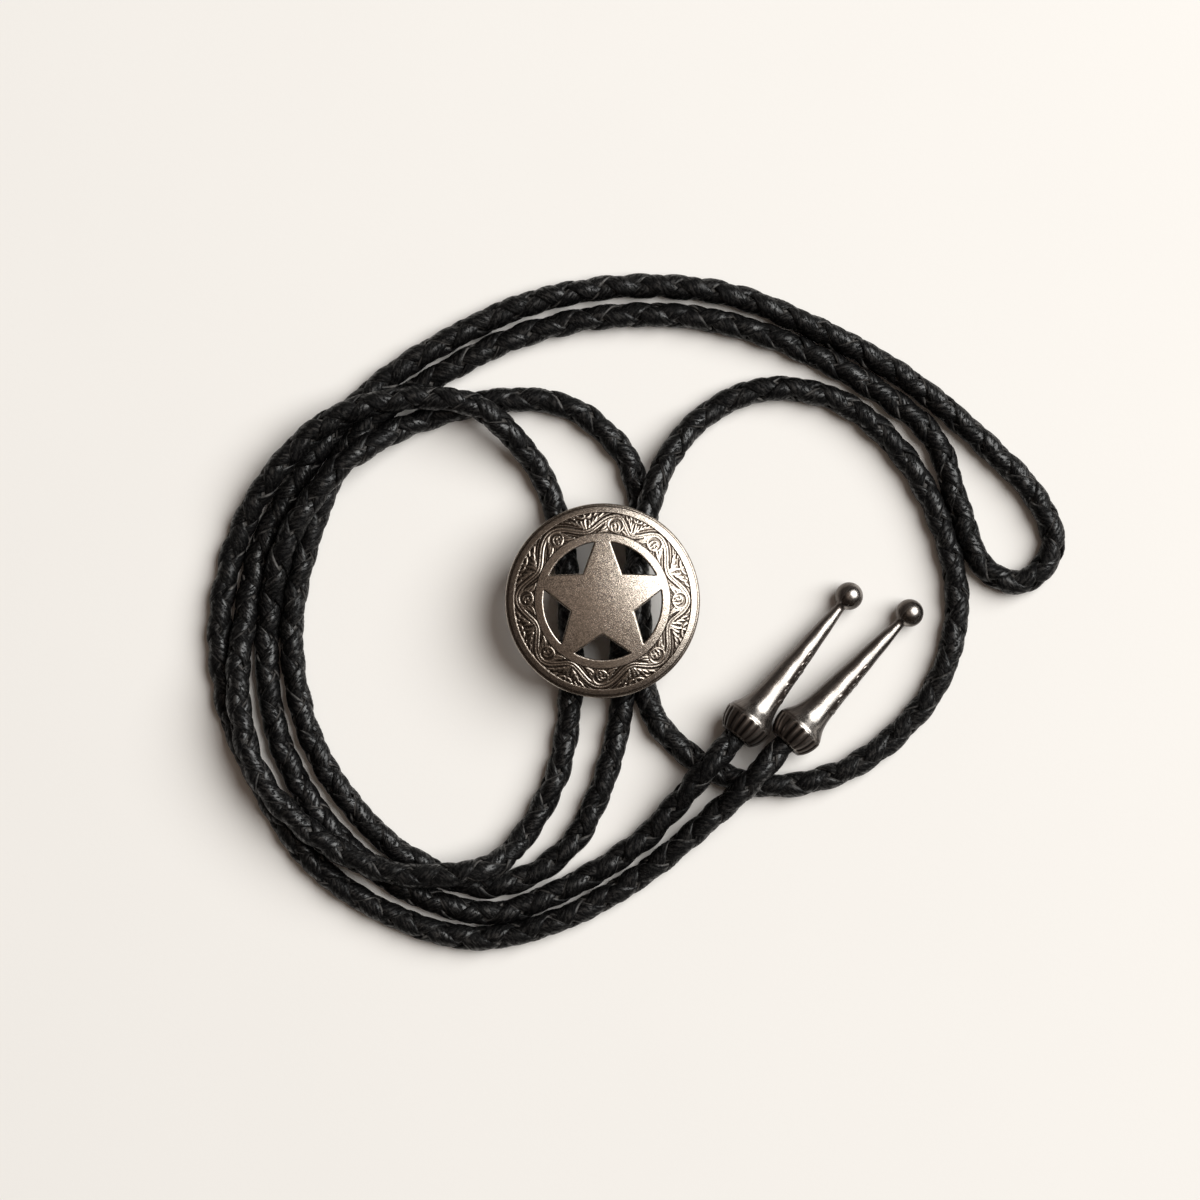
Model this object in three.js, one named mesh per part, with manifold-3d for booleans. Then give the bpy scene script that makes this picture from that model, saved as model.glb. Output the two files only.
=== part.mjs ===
// Bolo tie lying on a flat surface: a pierced star concho on a hidden slide clip, one long
// braided cord laid in loops, and a fluted metal tip on each end of the cord.
// Millimetres, +Z up. The origin is on the surface, under the middle of the concho.
import * as THREE from 'three';
import { mergeVertices } from 'three/addons/utils/BufferGeometryUtils.js';
import Module from 'manifold-3d';

const wasm = await Module();
wasm.setup();

// ---------------------------------------------------------------- driving dimensions
const gap = 0.3;                    // clearance between pieces that rest on or pass each other

const cordDiameter = 4.2;           // over the braid
const cordSides = 8;
const cordLift = 0.05;              // the cord's underside above the surface
const cordCrossing = 4.5;           // rise of one cord where it lies over another

const conchoDiameter = 38;
const conchoWall = 1.7;             // metal thickness of the dome
const conchoRise = 3.0;             // crown of the dome above its rim
const rimBevel = 0.45;
const bandOuterDiameter = 34.5;     // scroll band
const bandInnerDiameter = 26.3;
const bandDepth = 0.55;             // ground of the scroll band below the dome's face
const openingDiameter = 23.6;       // ring that the star stands in
const starNotchDiameter = 12.6;     // between the star's points
const starPointWidth = 2.9;         // where a point runs into the ring
const starPoints = 5;

const vineWave = 1.35;              // swing of the vine either side of the band's middle
const vineWidth = 0.62;
const curlWidth = 0.5;
const curlReach = 1.25;             // outer radius of a curl
const leafLength = 1.5;
const leafWidth = 0.8;

const postDiameter = 6;             // between the dome and the clip
const rivetDiameter = 4.2;          // through the clip
const rivetHeadDiameter = 6.4;
const rivetHeadHeight = 0.5;
const rivetHeadLift = 0.12;         // the head stays just clear of the surface

const clipWidth = 9;
const clipThickness = 1.5;
const clipLip = 1.0;                // rise of the raised ends over the plate
const clipEdge = 0.3;               // thickness of their top edge
const clipBend = 0.5;               // bevel of their lower edge

const tipLength = 38.4;
const tipMouthDiameter = 6.8;
const tipShoulderDiameter = 10.2;
const tipConeLength = 4.0;          // from the mouth to the shoulder
const tipShoulderLength = 0.6;
const tipBallDiameter = 5.5;
const tipNeckDiameter = 2.04;
const tipRibs = 18;
const tipRibDepth = 0.32;
const socketDepth = 7.6;
const markSize = 0.62;              // small ornament along the shaft
const markCount = 6;
const markPitch = 1.75;

const silver = { color: 0x9d958a, roughness: 0.38, metalness: 0.9 };
const gunmetal = { color: 0x7d766e, roughness: 0.26, metalness: 0.95 };
const steel = { color: 0x8b8b8b, roughness: 0.45, metalness: 0.9 };
const leather = { color: 0x161618, roughness: 0.5, metalness: 0 };

// ---------------------------------------------------------------- solids
function merged(geometry) {
  const g = geometry.clone();
  for (const name of Object.keys(g.attributes)) if (name !== 'position') g.deleteAttribute(name);
  const closed = mergeVertices(g, 1e-4);
  const index = [];
  const from = closed.index.array;
  for (let i = 0; i < from.length; i += 3) {
    const [a, b, c] = [from[i], from[i + 1], from[i + 2]];
    if (a !== b && b !== c && c !== a) index.push(a, b, c);
  }
  closed.setIndex(index);
  return closed;
}

function signedVolume(geometry) {
  const p = geometry.attributes.position;
  const i = geometry.index.array;
  const [a, b, c] = [new THREE.Vector3(), new THREE.Vector3(), new THREE.Vector3()];
  let sum = 0;
  for (let k = 0; k < i.length; k += 3) {
    a.fromBufferAttribute(p, i[k]);
    b.fromBufferAttribute(p, i[k + 1]);
    c.fromBufferAttribute(p, i[k + 2]);
    sum += a.dot(b.cross(c));
  }
  return sum / 6;
}

function solid(geometry) {
  const g = merged(geometry);
  const index = Array.from(g.index.array);
  if (signedVolume(g) < 0) {
    for (let k = 0; k < index.length; k += 3) [index[k + 1], index[k + 2]] = [index[k + 2], index[k + 1]];
  }
  return new wasm.Manifold(new wasm.Mesh({
    numProp: 3,
    vertProperties: new Float32Array(g.attributes.position.array),
    triVerts: new Uint32Array(index),
  }));
}

function geometryOf(manifold) {
  const mesh = manifold.getMesh();
  const g = new THREE.BufferGeometry();
  const points = new Float32Array((mesh.vertProperties.length / mesh.numProp) * 3);
  for (let i = 0; i < points.length / 3; i++) {
    for (let k = 0; k < 3; k++) points[i * 3 + k] = mesh.vertProperties[i * mesh.numProp + k];
  }
  g.setAttribute('position', new THREE.BufferAttribute(points, 3));
  g.setIndex(new THREE.BufferAttribute(new Uint32Array(mesh.triVerts), 1));
  g.computeVertexNormals();
  return g;
}

function named(name, manifold, look) {
  const mesh = new THREE.Mesh(geometryOf(manifold), new THREE.MeshStandardMaterial(look));
  mesh.name = name;
  return mesh;
}

// A closed profile of [radius, height] rows turned about +Z.
function turned(rows, segments) {
  const g = new THREE.LatheGeometry(rows.map(([r, h]) => new THREE.Vector2(r, h)), segments);
  g.rotateX(Math.PI / 2);
  return g;
}

// ---------------------------------------------------------------- where the cord lies
// Read off the picture in steps of 0.1977 mm: across and down from its corner. The concho's
// middle is at 602.5, 600.8 and the picture was taken from straight above, 700 mm up, over 600, 600.
// A level of 0 lies on the surface and 1 lies over another cord.
const step = 0.1977;
const conchoAt = [602.5, 600.8];
const lookAt = [600, 600];
const lookHeight = 700;
const bendAt = [440, 625];          // middle of the bend that all four strands share
const pt = (across, down, level) => ({ across, down, level });
const bend = (degrees, radius, level) => {
  const t = THREE.MathUtils.degToRad(degrees);
  return pt(bendAt[0] + radius * Math.cos(t), bendAt[1] - radius * Math.sin(t), level);
};

const clipLevel = 0.4;              // over the clip's plate
const route = {
  tailRight: [pt(809.3, 718.3, 0.64), pt(785, 743.5, 0.74), pt(752, 780, 1.08), pt(712.8, 816, 0.55),
    pt(641, 875.3, 0.02), pt(550, 923.4, 0)],
  strandA: [bend(276, 314.5, 0), bend(258, 290.5, 0), bend(240, 265.5, 0), bend(220, 237.5, 0),
    bend(200, 226.5, 0), bend(178, 219.7, 0), bend(156, 220, 0), bend(134, 226.5, 0.77),
    bend(116, 231.8, 1.02), bend(98, 229, 1), bend(82, 222.5, 1.1)],
  passOne: [pt(501, 424.5, 0.84), pt(545, 482, 0), pt(567.5, 574, clipLevel), pt(571, 628, clipLevel),
    pt(571, 690, 0.02)],
  strandB: [pt(557.5, 773.5, 0), pt(518, 843, 0.2), bend(281, 247, 1), bend(261, 252, 1.05),
    bend(240, 245, 1), bend(220, 235.5, 1), bend(200, 215, 1), bend(178, 195, 0.2),
    bend(156, 195, 0), bend(134, 203.5, 0), bend(116, 227, 0), bend(102, 255, 0)],
  neckOut: [pt(441, 343, 0), pt(521.3, 306, 0), pt(620, 286.7, 0), pt(725.5, 293.8, 0), pt(816, 328.5, 0),
    pt(905, 377.8, 0), pt(983.4, 442.6, 0), pt(1038, 501.2, 0), pt(1053, 547.5, 0), pt(1022.8, 581.5, 0)],
  neckBack: [pt(984, 567, 0), pt(958, 505, 0), pt(935, 440, 0), pt(882, 394.3, 0), pt(800, 348.8, 0),
    pt(705, 319, 0), pt(610, 316.4, 0), pt(514, 338, 0)],
  strandD: [bend(93, 243, 0), bend(106, 220, 0), bend(120, 195, 0), bend(134, 170, 0),
    bend(156, 151, 0), bend(178, 148, 0), bend(200, 154, 0), bend(220, 170.3, 0),
    bend(240, 194.5, 0), bend(261, 232, 0), bend(281, 266, 0)],
  passTwo: [pt(566, 850, 0), pt(603.5, 780.3, 0), pt(622.5, 702, 0.02), pt(621, 655, 0.68),
    pt(626, 622, 1.44), pt(636, 574, 1.44), pt(642.5, 542, 1.09), pt(650.5, 500, 1), pt(672, 452, 0.5)],
  sideLoop: [pt(710, 412, 0), pt(768, 389, 0), pt(838, 401, 0), pt(900, 451, 0), pt(943, 530, 0),
    pt(957, 615, 0), pt(927, 700, 0), pt(849, 768, 0), pt(765, 785.5, 0), pt(697.5, 760.5, 0),
    pt(657, 721, 0)],
  passThree: [pt(644, 680, 0.02), pt(640, 628, clipLevel), pt(638, 574, clipLevel),
    pt(638, 540, 0.04), pt(639, 500, 0), pt(624, 453.8, 0)],
  strandC: [pt(571.2, 408.6, 0), pt(500, 400.5, 0), bend(98, 203, 0.1), bend(110, 194, 0.75),
    bend(122, 188, 1.02), bend(134, 181, 1.02), bend(145, 176.5, 0.88), bend(156, 173.5, 0.66),
    bend(178, 172, 0.02), bend(200, 182.3, 0), bend(220, 202, 0), bend(240, 228, 0),
    bend(261, 263, 0), bend(280, 292.5, 0)],
  tailLeft: [pt(560, 891, 0), pt(640, 842, 0.02), pt(672, 809, 0.35), pt(711, 764, 1.06),
    pt(735.7, 736.7, 0.74), pt(757.5, 709.3, 0.64)],
};

const cordRadius = cordDiameter / 2;
const cordLow = cordRadius + cordLift;
function placed({ across, down, level }) {
  const z = cordLow + level * cordCrossing;
  const shrink = 1 - z / lookHeight;
  const x = (across - lookAt[0]) * shrink + lookAt[0] - conchoAt[0];
  const y = (lookAt[1] - down) * shrink + conchoAt[1] - lookAt[1];
  return new THREE.Vector3(x * step, y * step, z);
}
const stops = Object.values(route).flat();
const wholeCord = new THREE.CatmullRomCurve3(stops.map(placed), false, 'centripetal');
const lastStop = stops.length - 1;

// One stretch of the cord, with its steps at the route's own points, so that strands that lie
// side by side stay parallel.
class CordStretch extends THREE.Curve {
  constructor(from, to) {
    super();
    this.at = [from];
    for (let k = Math.floor(from) + 1; k < to; k++) this.at.push(k);
    this.at.push(to);
  }
  get steps() { return this.at.length - 1; }
  place(t) { return this.at[Math.round(t * this.steps)] / lastStop; }
  getPoint(t, target) { return wholeCord.getPoint(this.place(t), target); }
  getPointAt(t, target) { return this.getPoint(t, target); }
  getTangentAt(t, target) { return wholeCord.getTangent(this.place(t), target); }
  getSpacedPoints(n) { return this.at.map((_, k) => this.getPoint(k / n)); }
  // One flat of the section stays downwards, however the strand climbs.
  computeFrenetFrames(n) {
    const frames = { tangents: [], normals: [], binormals: [] };
    for (let k = 0; k <= n; k++) {
      const along = this.getTangentAt(k / n);
      const side = new THREE.Vector3(-along.y, along.x, 0).normalize();
      frames.tangents.push(along);
      frames.normals.push(side);
      frames.binormals.push(new THREE.Vector3().crossVectors(along, side));
    }
    return frames;
  }
}

function cordSolid(from, to) {
  const corner = cordRadius / Math.cos(Math.PI / cordSides);
  const section = new THREE.Shape();
  for (let k = 0; k < cordSides; k++) {
    const a = (k + 0.5) * 2 * Math.PI / cordSides;
    if (k === 0) section.moveTo(corner * Math.cos(a), corner * Math.sin(a));
    else section.lineTo(corner * Math.cos(a), corner * Math.sin(a));
  }
  section.closePath();
  const path = new CordStretch(from, to);
  return solid(new THREE.ExtrudeGeometry(section, { steps: path.steps, extrudePath: path }));
}

// Share of one route interval that spans half of the gap between two stretches.
function halfGap(k) {
  const a = wholeCord.getPoint(k / lastStop);
  const b = wholeCord.getPoint((k + 0.01) / lastStop);
  return 0.01 * (gap / 2) / a.distanceTo(b);
}

// ---------------------------------------------------------------- concho
const conchoRadius = conchoDiameter / 2;
const conchoLow = cordLow + cordCrossing + cordRadius + gap;   // rim over two crossing cords
const domeUnder = (r) => conchoLow + conchoRise * (1 - (r / conchoRadius) ** 2);
const domeFace = (r) => domeUnder(r) + conchoWall;
const bandOuter = bandOuterDiameter / 2;
const bandInner = bandInnerDiameter / 2;
const bandMiddle = (bandOuter + bandInner) / 2;
const bandGround = (r) => domeFace(r) - bandDepth;

const clipTop = clipThickness;
const postRadius = postDiameter / 2;
const rivetRadius = rivetDiameter / 2;
const headRadius = rivetHeadDiameter / 2;
const postLow = clipTop + gap;
const headTop = rivetHeadLift + rivetHeadHeight;

function conchoBody() {
  const bandSlope = 0.25;
  const rows = [
    [0, rivetHeadLift], [headRadius - 0.3, rivetHeadLift], [headRadius, headTop - 0.2],
    [headRadius, headTop], [rivetRadius, headTop], [rivetRadius, postLow],
    [postRadius, postLow], [postRadius, domeUnder(postRadius)],
  ];
  for (const share of [0.5, 0.78]) rows.push([conchoRadius * share, domeUnder(conchoRadius * share)]);
  rows.push([conchoRadius, domeUnder(conchoRadius)]);
  rows.push([conchoRadius, domeFace(conchoRadius) - rimBevel]);
  rows.push([conchoRadius - rimBevel, domeFace(conchoRadius - rimBevel)]);
  rows.push([bandOuter, domeFace(bandOuter)]);
  rows.push([bandOuter - bandSlope, bandGround(bandOuter)]);
  rows.push([bandInner + bandSlope, bandGround(bandInner)]);
  rows.push([bandInner, domeFace(bandInner)]);
  const crown = openingDiameter / 2;
  for (const share of [1, 0.5, 0]) rows.push([crown * share, domeFace(crown * share)]);
  return solid(turned(rows, 60));
}

function starOpening(k) {
  const ring = openingDiameter / 2;
  const halfPoint = Math.asin(starPointWidth / 2 / ring);
  const turn = 2 * Math.PI / starPoints;
  const from = Math.PI / 2 + k * turn + halfPoint;
  const to = Math.PI / 2 + (k + 1) * turn - halfPoint;
  const notch = Math.PI / 2 + (k + 0.5) * turn;
  const shape = new THREE.Shape();
  shape.moveTo(starNotchDiameter / 2 * Math.cos(notch), starNotchDiameter / 2 * Math.sin(notch));
  shape.lineTo(ring * Math.cos(from), ring * Math.sin(from));
  const arcSteps = 10;
  for (let i = 1; i <= arcSteps; i++) {
    const a = from + (to - from) * i / arcSteps;
    shape.lineTo(ring * Math.cos(a), ring * Math.sin(a));
  }
  shape.closePath();
  const g = new THREE.ExtrudeGeometry(shape, { depth: conchoRise + conchoWall + 2, bevelEnabled: false });
  g.translate(0, 0, conchoLow - 1);
  return solid(g);
}

// Cast scroll: a vine that swings round the band, a curl inside each outward swing, and a
// spray of leaves outside each inward swing.
const scrolls = 8;
const scrollStart = THREE.MathUtils.degToRad(77);
const vineRadius = (angle) => bandMiddle + vineWave * Math.cos(scrolls * (angle - scrollStart));

function vine() {
  const g = new THREE.TorusGeometry(bandMiddle, vineWidth / 2, 4, scrolls * 10);
  const p = g.attributes.position;
  for (let i = 0; i < p.count; i++) {
    const [x, y] = [p.getX(i), p.getY(i)];
    const a = Math.atan2(y, x);
    const r = Math.hypot(x, y) - bandMiddle + vineRadius(a);
    p.setXYZ(i, r * Math.cos(a), r * Math.sin(a), p.getZ(i) + bandGround(r) + 0.12);
  }
  return solid(g);
}

function bead(path, width, steps) {
  const section = new THREE.Shape();
  for (let k = 0; k < 4; k++) {
    const a = (k + 0.5) * Math.PI / 2;
    if (k === 0) section.moveTo(width / 2 * Math.cos(a), width / 2 * Math.sin(a));
    else section.lineTo(width / 2 * Math.cos(a), width / 2 * Math.sin(a));
  }
  section.closePath();
  return solid(new THREE.ExtrudeGeometry(section, { steps, extrudePath: path }));
}

function onBand(radius, angle, lift) {
  return new THREE.Vector3(radius * Math.cos(angle), radius * Math.sin(angle), bandGround(radius) + lift);
}

function curl(angle) {
  const points = [];
  const turns = 1.35;
  const centre = bandMiddle - 0.35;
  for (let i = 0; i <= 9; i++) {
    const t = i / 9;
    const a = Math.PI * 0.1 + t * turns * 2 * Math.PI;
    const reach = curlReach * (1 - 0.72 * t);
    const r = centre + reach * Math.cos(a);
    points.push(onBand(r, angle + reach * Math.sin(a) / centre, 0.1));
  }
  return bead(new THREE.CatmullRomCurve3(points, false, 'centripetal'), curlWidth, 10);
}

function leaf(angle, radius, turn, size) {
  const g = new THREE.SphereGeometry(1, 5, 3);
  g.rotateX(Math.PI / 2);
  g.scale(leafWidth / 2 * size, leafLength / 2 * size, 0.34);
  g.rotateZ(angle + turn);
  const at = onBand(radius, angle, 0.06);
  g.translate(at.x, at.y, at.z);
  return solid(g);
}

const leaves = [                    // round from the inward swing, out from the band's middle
  { round: -0.11, out: 0.55, turn: 0.7, size: 0.85 },
  { round: -0.04, out: 1.05, turn: 0.35, size: 0.9 },
  { round: 0.045, out: 1.05, turn: -0.35, size: 0.9 },
  { round: 0.115, out: 0.55, turn: -0.7, size: 0.85 },
];

function concho() {
  let body = conchoBody();
  for (let k = 0; k < starPoints; k++) body = body.subtract(starOpening(k));
  body = body.add(vine());
  for (let k = 0; k < scrolls; k++) {
    const angle = scrollStart + k * 2 * Math.PI / scrolls;
    body = body.add(curl(angle));
    for (const { round, out, turn, size } of leaves) {
      const a = angle + Math.PI / scrolls + round;
      body = body.add(leaf(a, bandMiddle + out, turn, size));
    }
  }
  return body;
}

// ---------------------------------------------------------------- slide clip
// A plain plate under the cord, as long as the strands that lie on it are apart, with its ends
// raised beside their undersides, so that nothing of it shows past them from above.
function slideClip() {
  const cordFlat = cordRadius * Math.tan(Math.PI / cordSides);
  const across = (rows) => rows.map((row) => placed(row).x);
  const left = Math.min(...across(route.passOne.slice(2, 4))) - cordFlat;
  const right = Math.max(...across(route.passThree.slice(1, 3))) + cordFlat;
  const side = new THREE.Shape();
  side.moveTo(left - clipLip - clipEdge, clipBend);
  side.lineTo(left - clipLip - clipEdge + clipBend, 0);
  side.lineTo(right + clipLip + clipEdge - clipBend, 0);
  side.lineTo(right + clipLip + clipEdge, clipBend);
  side.lineTo(right + clipLip + clipEdge, clipThickness + clipLip);
  side.lineTo(right + clipLip, clipThickness + clipLip);
  side.lineTo(right, clipThickness);
  side.lineTo(left, clipThickness);
  side.lineTo(left - clipLip, clipThickness + clipLip);
  side.lineTo(left - clipLip - clipEdge, clipThickness + clipLip);
  side.closePath();
  const g = new THREE.ExtrudeGeometry(side, { depth: clipWidth, bevelEnabled: false });
  g.rotateX(Math.PI / 2);
  g.translate(0, clipWidth / 2, 0);
  const hole = new THREE.CylinderGeometry(rivetRadius + gap, rivetRadius + gap, clipThickness * 3, 24);
  hole.rotateX(Math.PI / 2);
  const sinkDepth = headTop + gap;
  const sink = new THREE.CylinderGeometry(headRadius + gap, headRadius + gap, sinkDepth + 1, 24);
  sink.rotateX(Math.PI / 2);
  sink.translate(0, 0, (sinkDepth - 1) / 2);
  return solid(g).subtract(solid(hole)).subtract(solid(sink));
}

// ---------------------------------------------------------------- tips
const socketRadius = cordRadius / Math.cos(Math.PI / cordSides) + gap;
const tipBallRadius = tipBallDiameter / 2;
const shoulderRadius = tipShoulderDiameter / 2;
const shoulderEnd = tipConeLength + tipShoulderLength;
const ballAt = tipLength - tipBallRadius;
const neckAt = ballAt - Math.sqrt(tipBallRadius ** 2 - (tipNeckDiameter / 2) ** 2);

const cone = [                      // shares of the cone's length and of its widening
  { along: 0.3, out: 0.52 }, { along: 0.65, out: 0.86 }, { along: 1, out: 1 },
];
const shaft = [                     // shares of the way from shoulder to neck, and of the narrowing left
  { along: 0.01, left: 0.92 }, { along: 0.045, left: 0.78 }, { along: 0.08, left: 0.65 },
  { along: 0.12, left: 0.565 }, { along: 0.19, left: 0.47 }, { along: 0.3, left: 0.405 },
  { along: 0.55, left: 0.275 }, { along: 0.8, left: 0.135 }, { along: 0.93, left: 0.03 },
  { along: 1, left: 0 },
];

function tip() {
  const mouth = tipMouthDiameter / 2;
  const neck = tipNeckDiameter / 2;
  const rows = [[0, socketDepth], [socketRadius, socketDepth], [socketRadius, 0], [mouth, 0]];
  for (const { along, out } of cone) rows.push([mouth + (shoulderRadius - mouth) * out, tipConeLength * along]);
  rows.push([shoulderRadius, shoulderEnd]);
  for (const { along, left } of shaft) {
    rows.push([neck + (shoulderRadius - neck) * left, shoulderEnd + (neckAt - shoulderEnd) * along]);
  }
  const first = Math.asin(neck / tipBallRadius);
  const ballRows = 6;
  for (let i = 1; i <= ballRows; i++) {
    const a = (Math.PI - first) * (1 - i / ballRows);
    rows.push([i === ballRows ? 0 : tipBallRadius * Math.sin(a), ballAt + tipBallRadius * Math.cos(a)]);
  }
  const segments = tipRibs * 2;
  const g = turned(rows, segments);
  const p = g.attributes.position;
  for (let i = 0; i < p.count; i++) {
    const [x, y, z] = [p.getX(i), p.getY(i), p.getZ(i)];
    const r = Math.hypot(x, y);
    if (z < -1e-6 || z > tipConeLength + 1e-6 || r < socketRadius + 0.05) continue;
    const rib = Math.round(Math.atan2(y, x) / (2 * Math.PI) * segments) & 1;
    const fade = z > tipConeLength - 1e-6 ? 0.35 : z < 1e-6 ? 0.5 : 1;
    const k = 1 - rib * tipRibDepth * fade / r;
    p.setXYZ(i, x * k, y * k, z);
  }
  let body = solid(g);
  const profile = rows.slice(4);
  const radiusAt = (z) => {
    for (let i = 1; i < profile.length; i++) {
      if (z <= profile[i][1]) {
        const [r0, z0] = profile[i - 1];
        const [r1, z1] = profile[i];
        return r0 + (r1 - r0) * (z - z0) / (z1 - z0);
      }
    }
    return 0;
  };
  for (let k = 0; k < markCount; k++) {
    const z = shoulderEnd + (neckAt - shoulderEnd) * 0.3 + k * markPitch;
    const mark = new THREE.OctahedronGeometry(markSize);
    mark.scale(1, 0.6, 1.2);
    mark.translate(radiusAt(z) - 0.12, 0, z);
    body = body.add(solid(mark));
  }
  return body;
}

// A tip lies on its shoulder and its ball, with its mouth at the cord's end.
function layTip(name, mouthAt, ballTowards) {
  const lean = Math.asin((shoulderRadius - tipBallRadius) / (ballAt - shoulderEnd));
  const mouthHeight = shoulderRadius / Math.cos(lean) + shoulderEnd * Math.sin(lean) + cordLift;
  const level = (mouthHeight - cordLow) / cordCrossing;
  const mouth = placed({ ...mouthAt, level });
  const towards = placed({ ...ballTowards, level });
  const heading = Math.atan2(towards.y - mouth.y, towards.x - mouth.x);
  const mesh = named(name, tip(), gunmetal);
  mesh.position.copy(mouth);
  const axis = new THREE.Vector3(Math.cos(heading) * Math.cos(lean), Math.sin(heading) * Math.cos(lean), -Math.sin(lean));
  const side = new THREE.Vector3(Math.sin(heading), -Math.cos(heading), 0);
  const up = new THREE.Vector3().crossVectors(axis, side);
  const turn = THREE.MathUtils.degToRad(24);
  const x = side.clone().multiplyScalar(Math.cos(turn)).addScaledVector(up, Math.sin(turn));
  const y = new THREE.Vector3().crossVectors(axis, x);
  mesh.quaternion.setFromRotationMatrix(new THREE.Matrix4().makeBasis(x, y, axis));
  return mesh;
}

// ---------------------------------------------------------------- the tie
const tie = new THREE.Group();
tie.name = 'bolo_tie';
tie.add(named('concho', concho(), silver));
tie.add(named('slide_clip', slideClip(), steel));
tie.add(layTip('tip_right', route.tailRight[1], pt(912.7, 611, 0)));
tie.add(layTip('tip_left', route.tailLeft[4], pt(848, 595.7, 0)));

const counts = Object.values(route).map((rows) => rows.length);
const before = (name) => Object.keys(route).indexOf(name) < 0 ? lastStop
  : counts.slice(0, Object.keys(route).indexOf(name)).reduce((a, b) => a + b, 0);
const stretches = [                 // node, and the run of the route where it starts
  ['cord_tail_right', 'tailRight'],
  ['cord_strand_a', 'strandA'],
  ['cord_pass_one', 'passOne'],
  ['cord_strand_b', 'strandB'],
  ['cord_neck_out', 'neckOut'],
  ['cord_neck_back', 'neckBack'],
  ['cord_strand_d', 'strandD'],
  ['cord_pass_two', 'passTwo'],
  ['cord_side_loop', 'sideLoop'],
  ['cord_pass_three', 'passThree'],
  ['cord_strand_c', 'strandC'],
  ['cord_tail_left', 'tailLeft'],
];
stretches.forEach(([name, run], i) => {
  const start = before(run);
  const end = i + 1 < stretches.length ? before(stretches[i + 1][1]) : lastStop;
  const from = i === 0 ? start : start + halfGap(start);
  const to = end === lastStop ? end : end - halfGap(end);
  tie.add(named(name, cordSolid(from, to), leather));
});

export default tie;
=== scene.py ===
"""Bolo tie lying on a pale surface: the looks of its cord, concho, slide clip and tips.

Metres, +Z up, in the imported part's frame. The origin is on the surface, under the concho's middle.
"""
import math

import bmesh
import bpy
import numpy as np
from bpy.props import FloatProperty, FloatVectorProperty, IntProperty, PointerProperty
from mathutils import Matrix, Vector


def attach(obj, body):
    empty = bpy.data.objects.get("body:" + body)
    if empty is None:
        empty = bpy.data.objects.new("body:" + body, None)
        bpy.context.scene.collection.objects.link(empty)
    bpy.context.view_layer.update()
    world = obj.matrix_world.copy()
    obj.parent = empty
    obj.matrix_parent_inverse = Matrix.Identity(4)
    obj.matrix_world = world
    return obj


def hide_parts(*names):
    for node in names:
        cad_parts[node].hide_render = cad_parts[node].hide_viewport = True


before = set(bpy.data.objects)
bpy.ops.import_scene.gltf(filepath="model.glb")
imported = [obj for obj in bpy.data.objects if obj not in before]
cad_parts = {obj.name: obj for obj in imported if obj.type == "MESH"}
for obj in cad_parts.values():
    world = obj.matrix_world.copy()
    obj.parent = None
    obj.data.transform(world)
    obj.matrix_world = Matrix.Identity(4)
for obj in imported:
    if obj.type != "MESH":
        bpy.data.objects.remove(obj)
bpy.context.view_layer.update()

bl_info = {
    "name": "Bolo Tie",
    "version": (1, 0, 0),
    "blender": (4, 5, 0),
    "location": "View3D > Sidebar > Bolo Tie",
    "description": "Builds a braided bolo tie with a pierced star concho and fluted tips",
    "category": "Add Mesh",
}

MM = 0.001


# ---- sizes and colours
def size_mm(name, millimetres, description):
    """A length in the panel, given in millimetres."""
    return FloatProperty(name=name, description=description, default=millimetres * MM, unit="LENGTH")


def colour_rgb(name, rgb, description):
    return FloatVectorProperty(name=name, description=description, default=rgb, subtype="COLOR")


class BoloCordSizes(bpy.types.PropertyGroup):
    diameter: size_mm("Diameter", 4.2, "Over the braid")
    turn: size_mm("Lay", 14.6, "Length in which a lace goes once round")
    lace_width: size_mm("Lace width", 4.1, "Across one flat lace")
    lace_thickness: size_mm("Lace thickness", 1.10, "Through one lace")
    lace_lift: size_mm("Lace lift", 0.29, "Rise and fall of a lace over and under the others")
    crest: size_mm("Crest", 0.45, "How far a lace stands out past the cord's radius")
    core: size_mm("Core diameter", 3.3, "Round filler inside the braid")
    leather: colour_rgb("Leather", (0.0013, 0.0012, 0.0013), "Dyed face of the laces")
    # Colour of the painted highlights on the lace edges and specks.
    wear_and_highlight: colour_rgb("Painted edge highlight", (0.13, 0.122, 0.115), "Painted highlights on lace edges and specks")


class BoloConchoSizes(bpy.types.PropertyGroup):
    diameter: size_mm("Diameter", 38, "Over the rim")
    wall: size_mm("Wall", 1.7, "Metal thickness of the dome")
    rise: size_mm("Rise", 3.0, "Crown of the dome above its rim")
    underside: size_mm("Underside", 9.05, "Height of the rim's underside")
    band_outer: size_mm("Band outside", 34.5, "Outer diameter of the scroll band")
    band_inner: size_mm("Band inside", 26.3, "Inner diameter of the scroll band")
    band_depth: size_mm("Band depth", 0.30, "Ground of the band below the face")
    opening: size_mm("Opening", 22.9, "Diameter of the ring round the star")
    notch: size_mm("Notches", 13.1, "Diameter through the star's inner corners")
    point: size_mm("Point width", 3.3, "Where a point runs into the ring")
    points: IntProperty(name="Points", description="Points of the star", default=5, min=3, max=12)
    silver: colour_rgb("Silver", (0.515, 0.455, 0.395), "Rubbed metal")
    patina: colour_rgb("Patina", (0.052, 0.038, 0.029), "Dark metal in the recesses")


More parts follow.
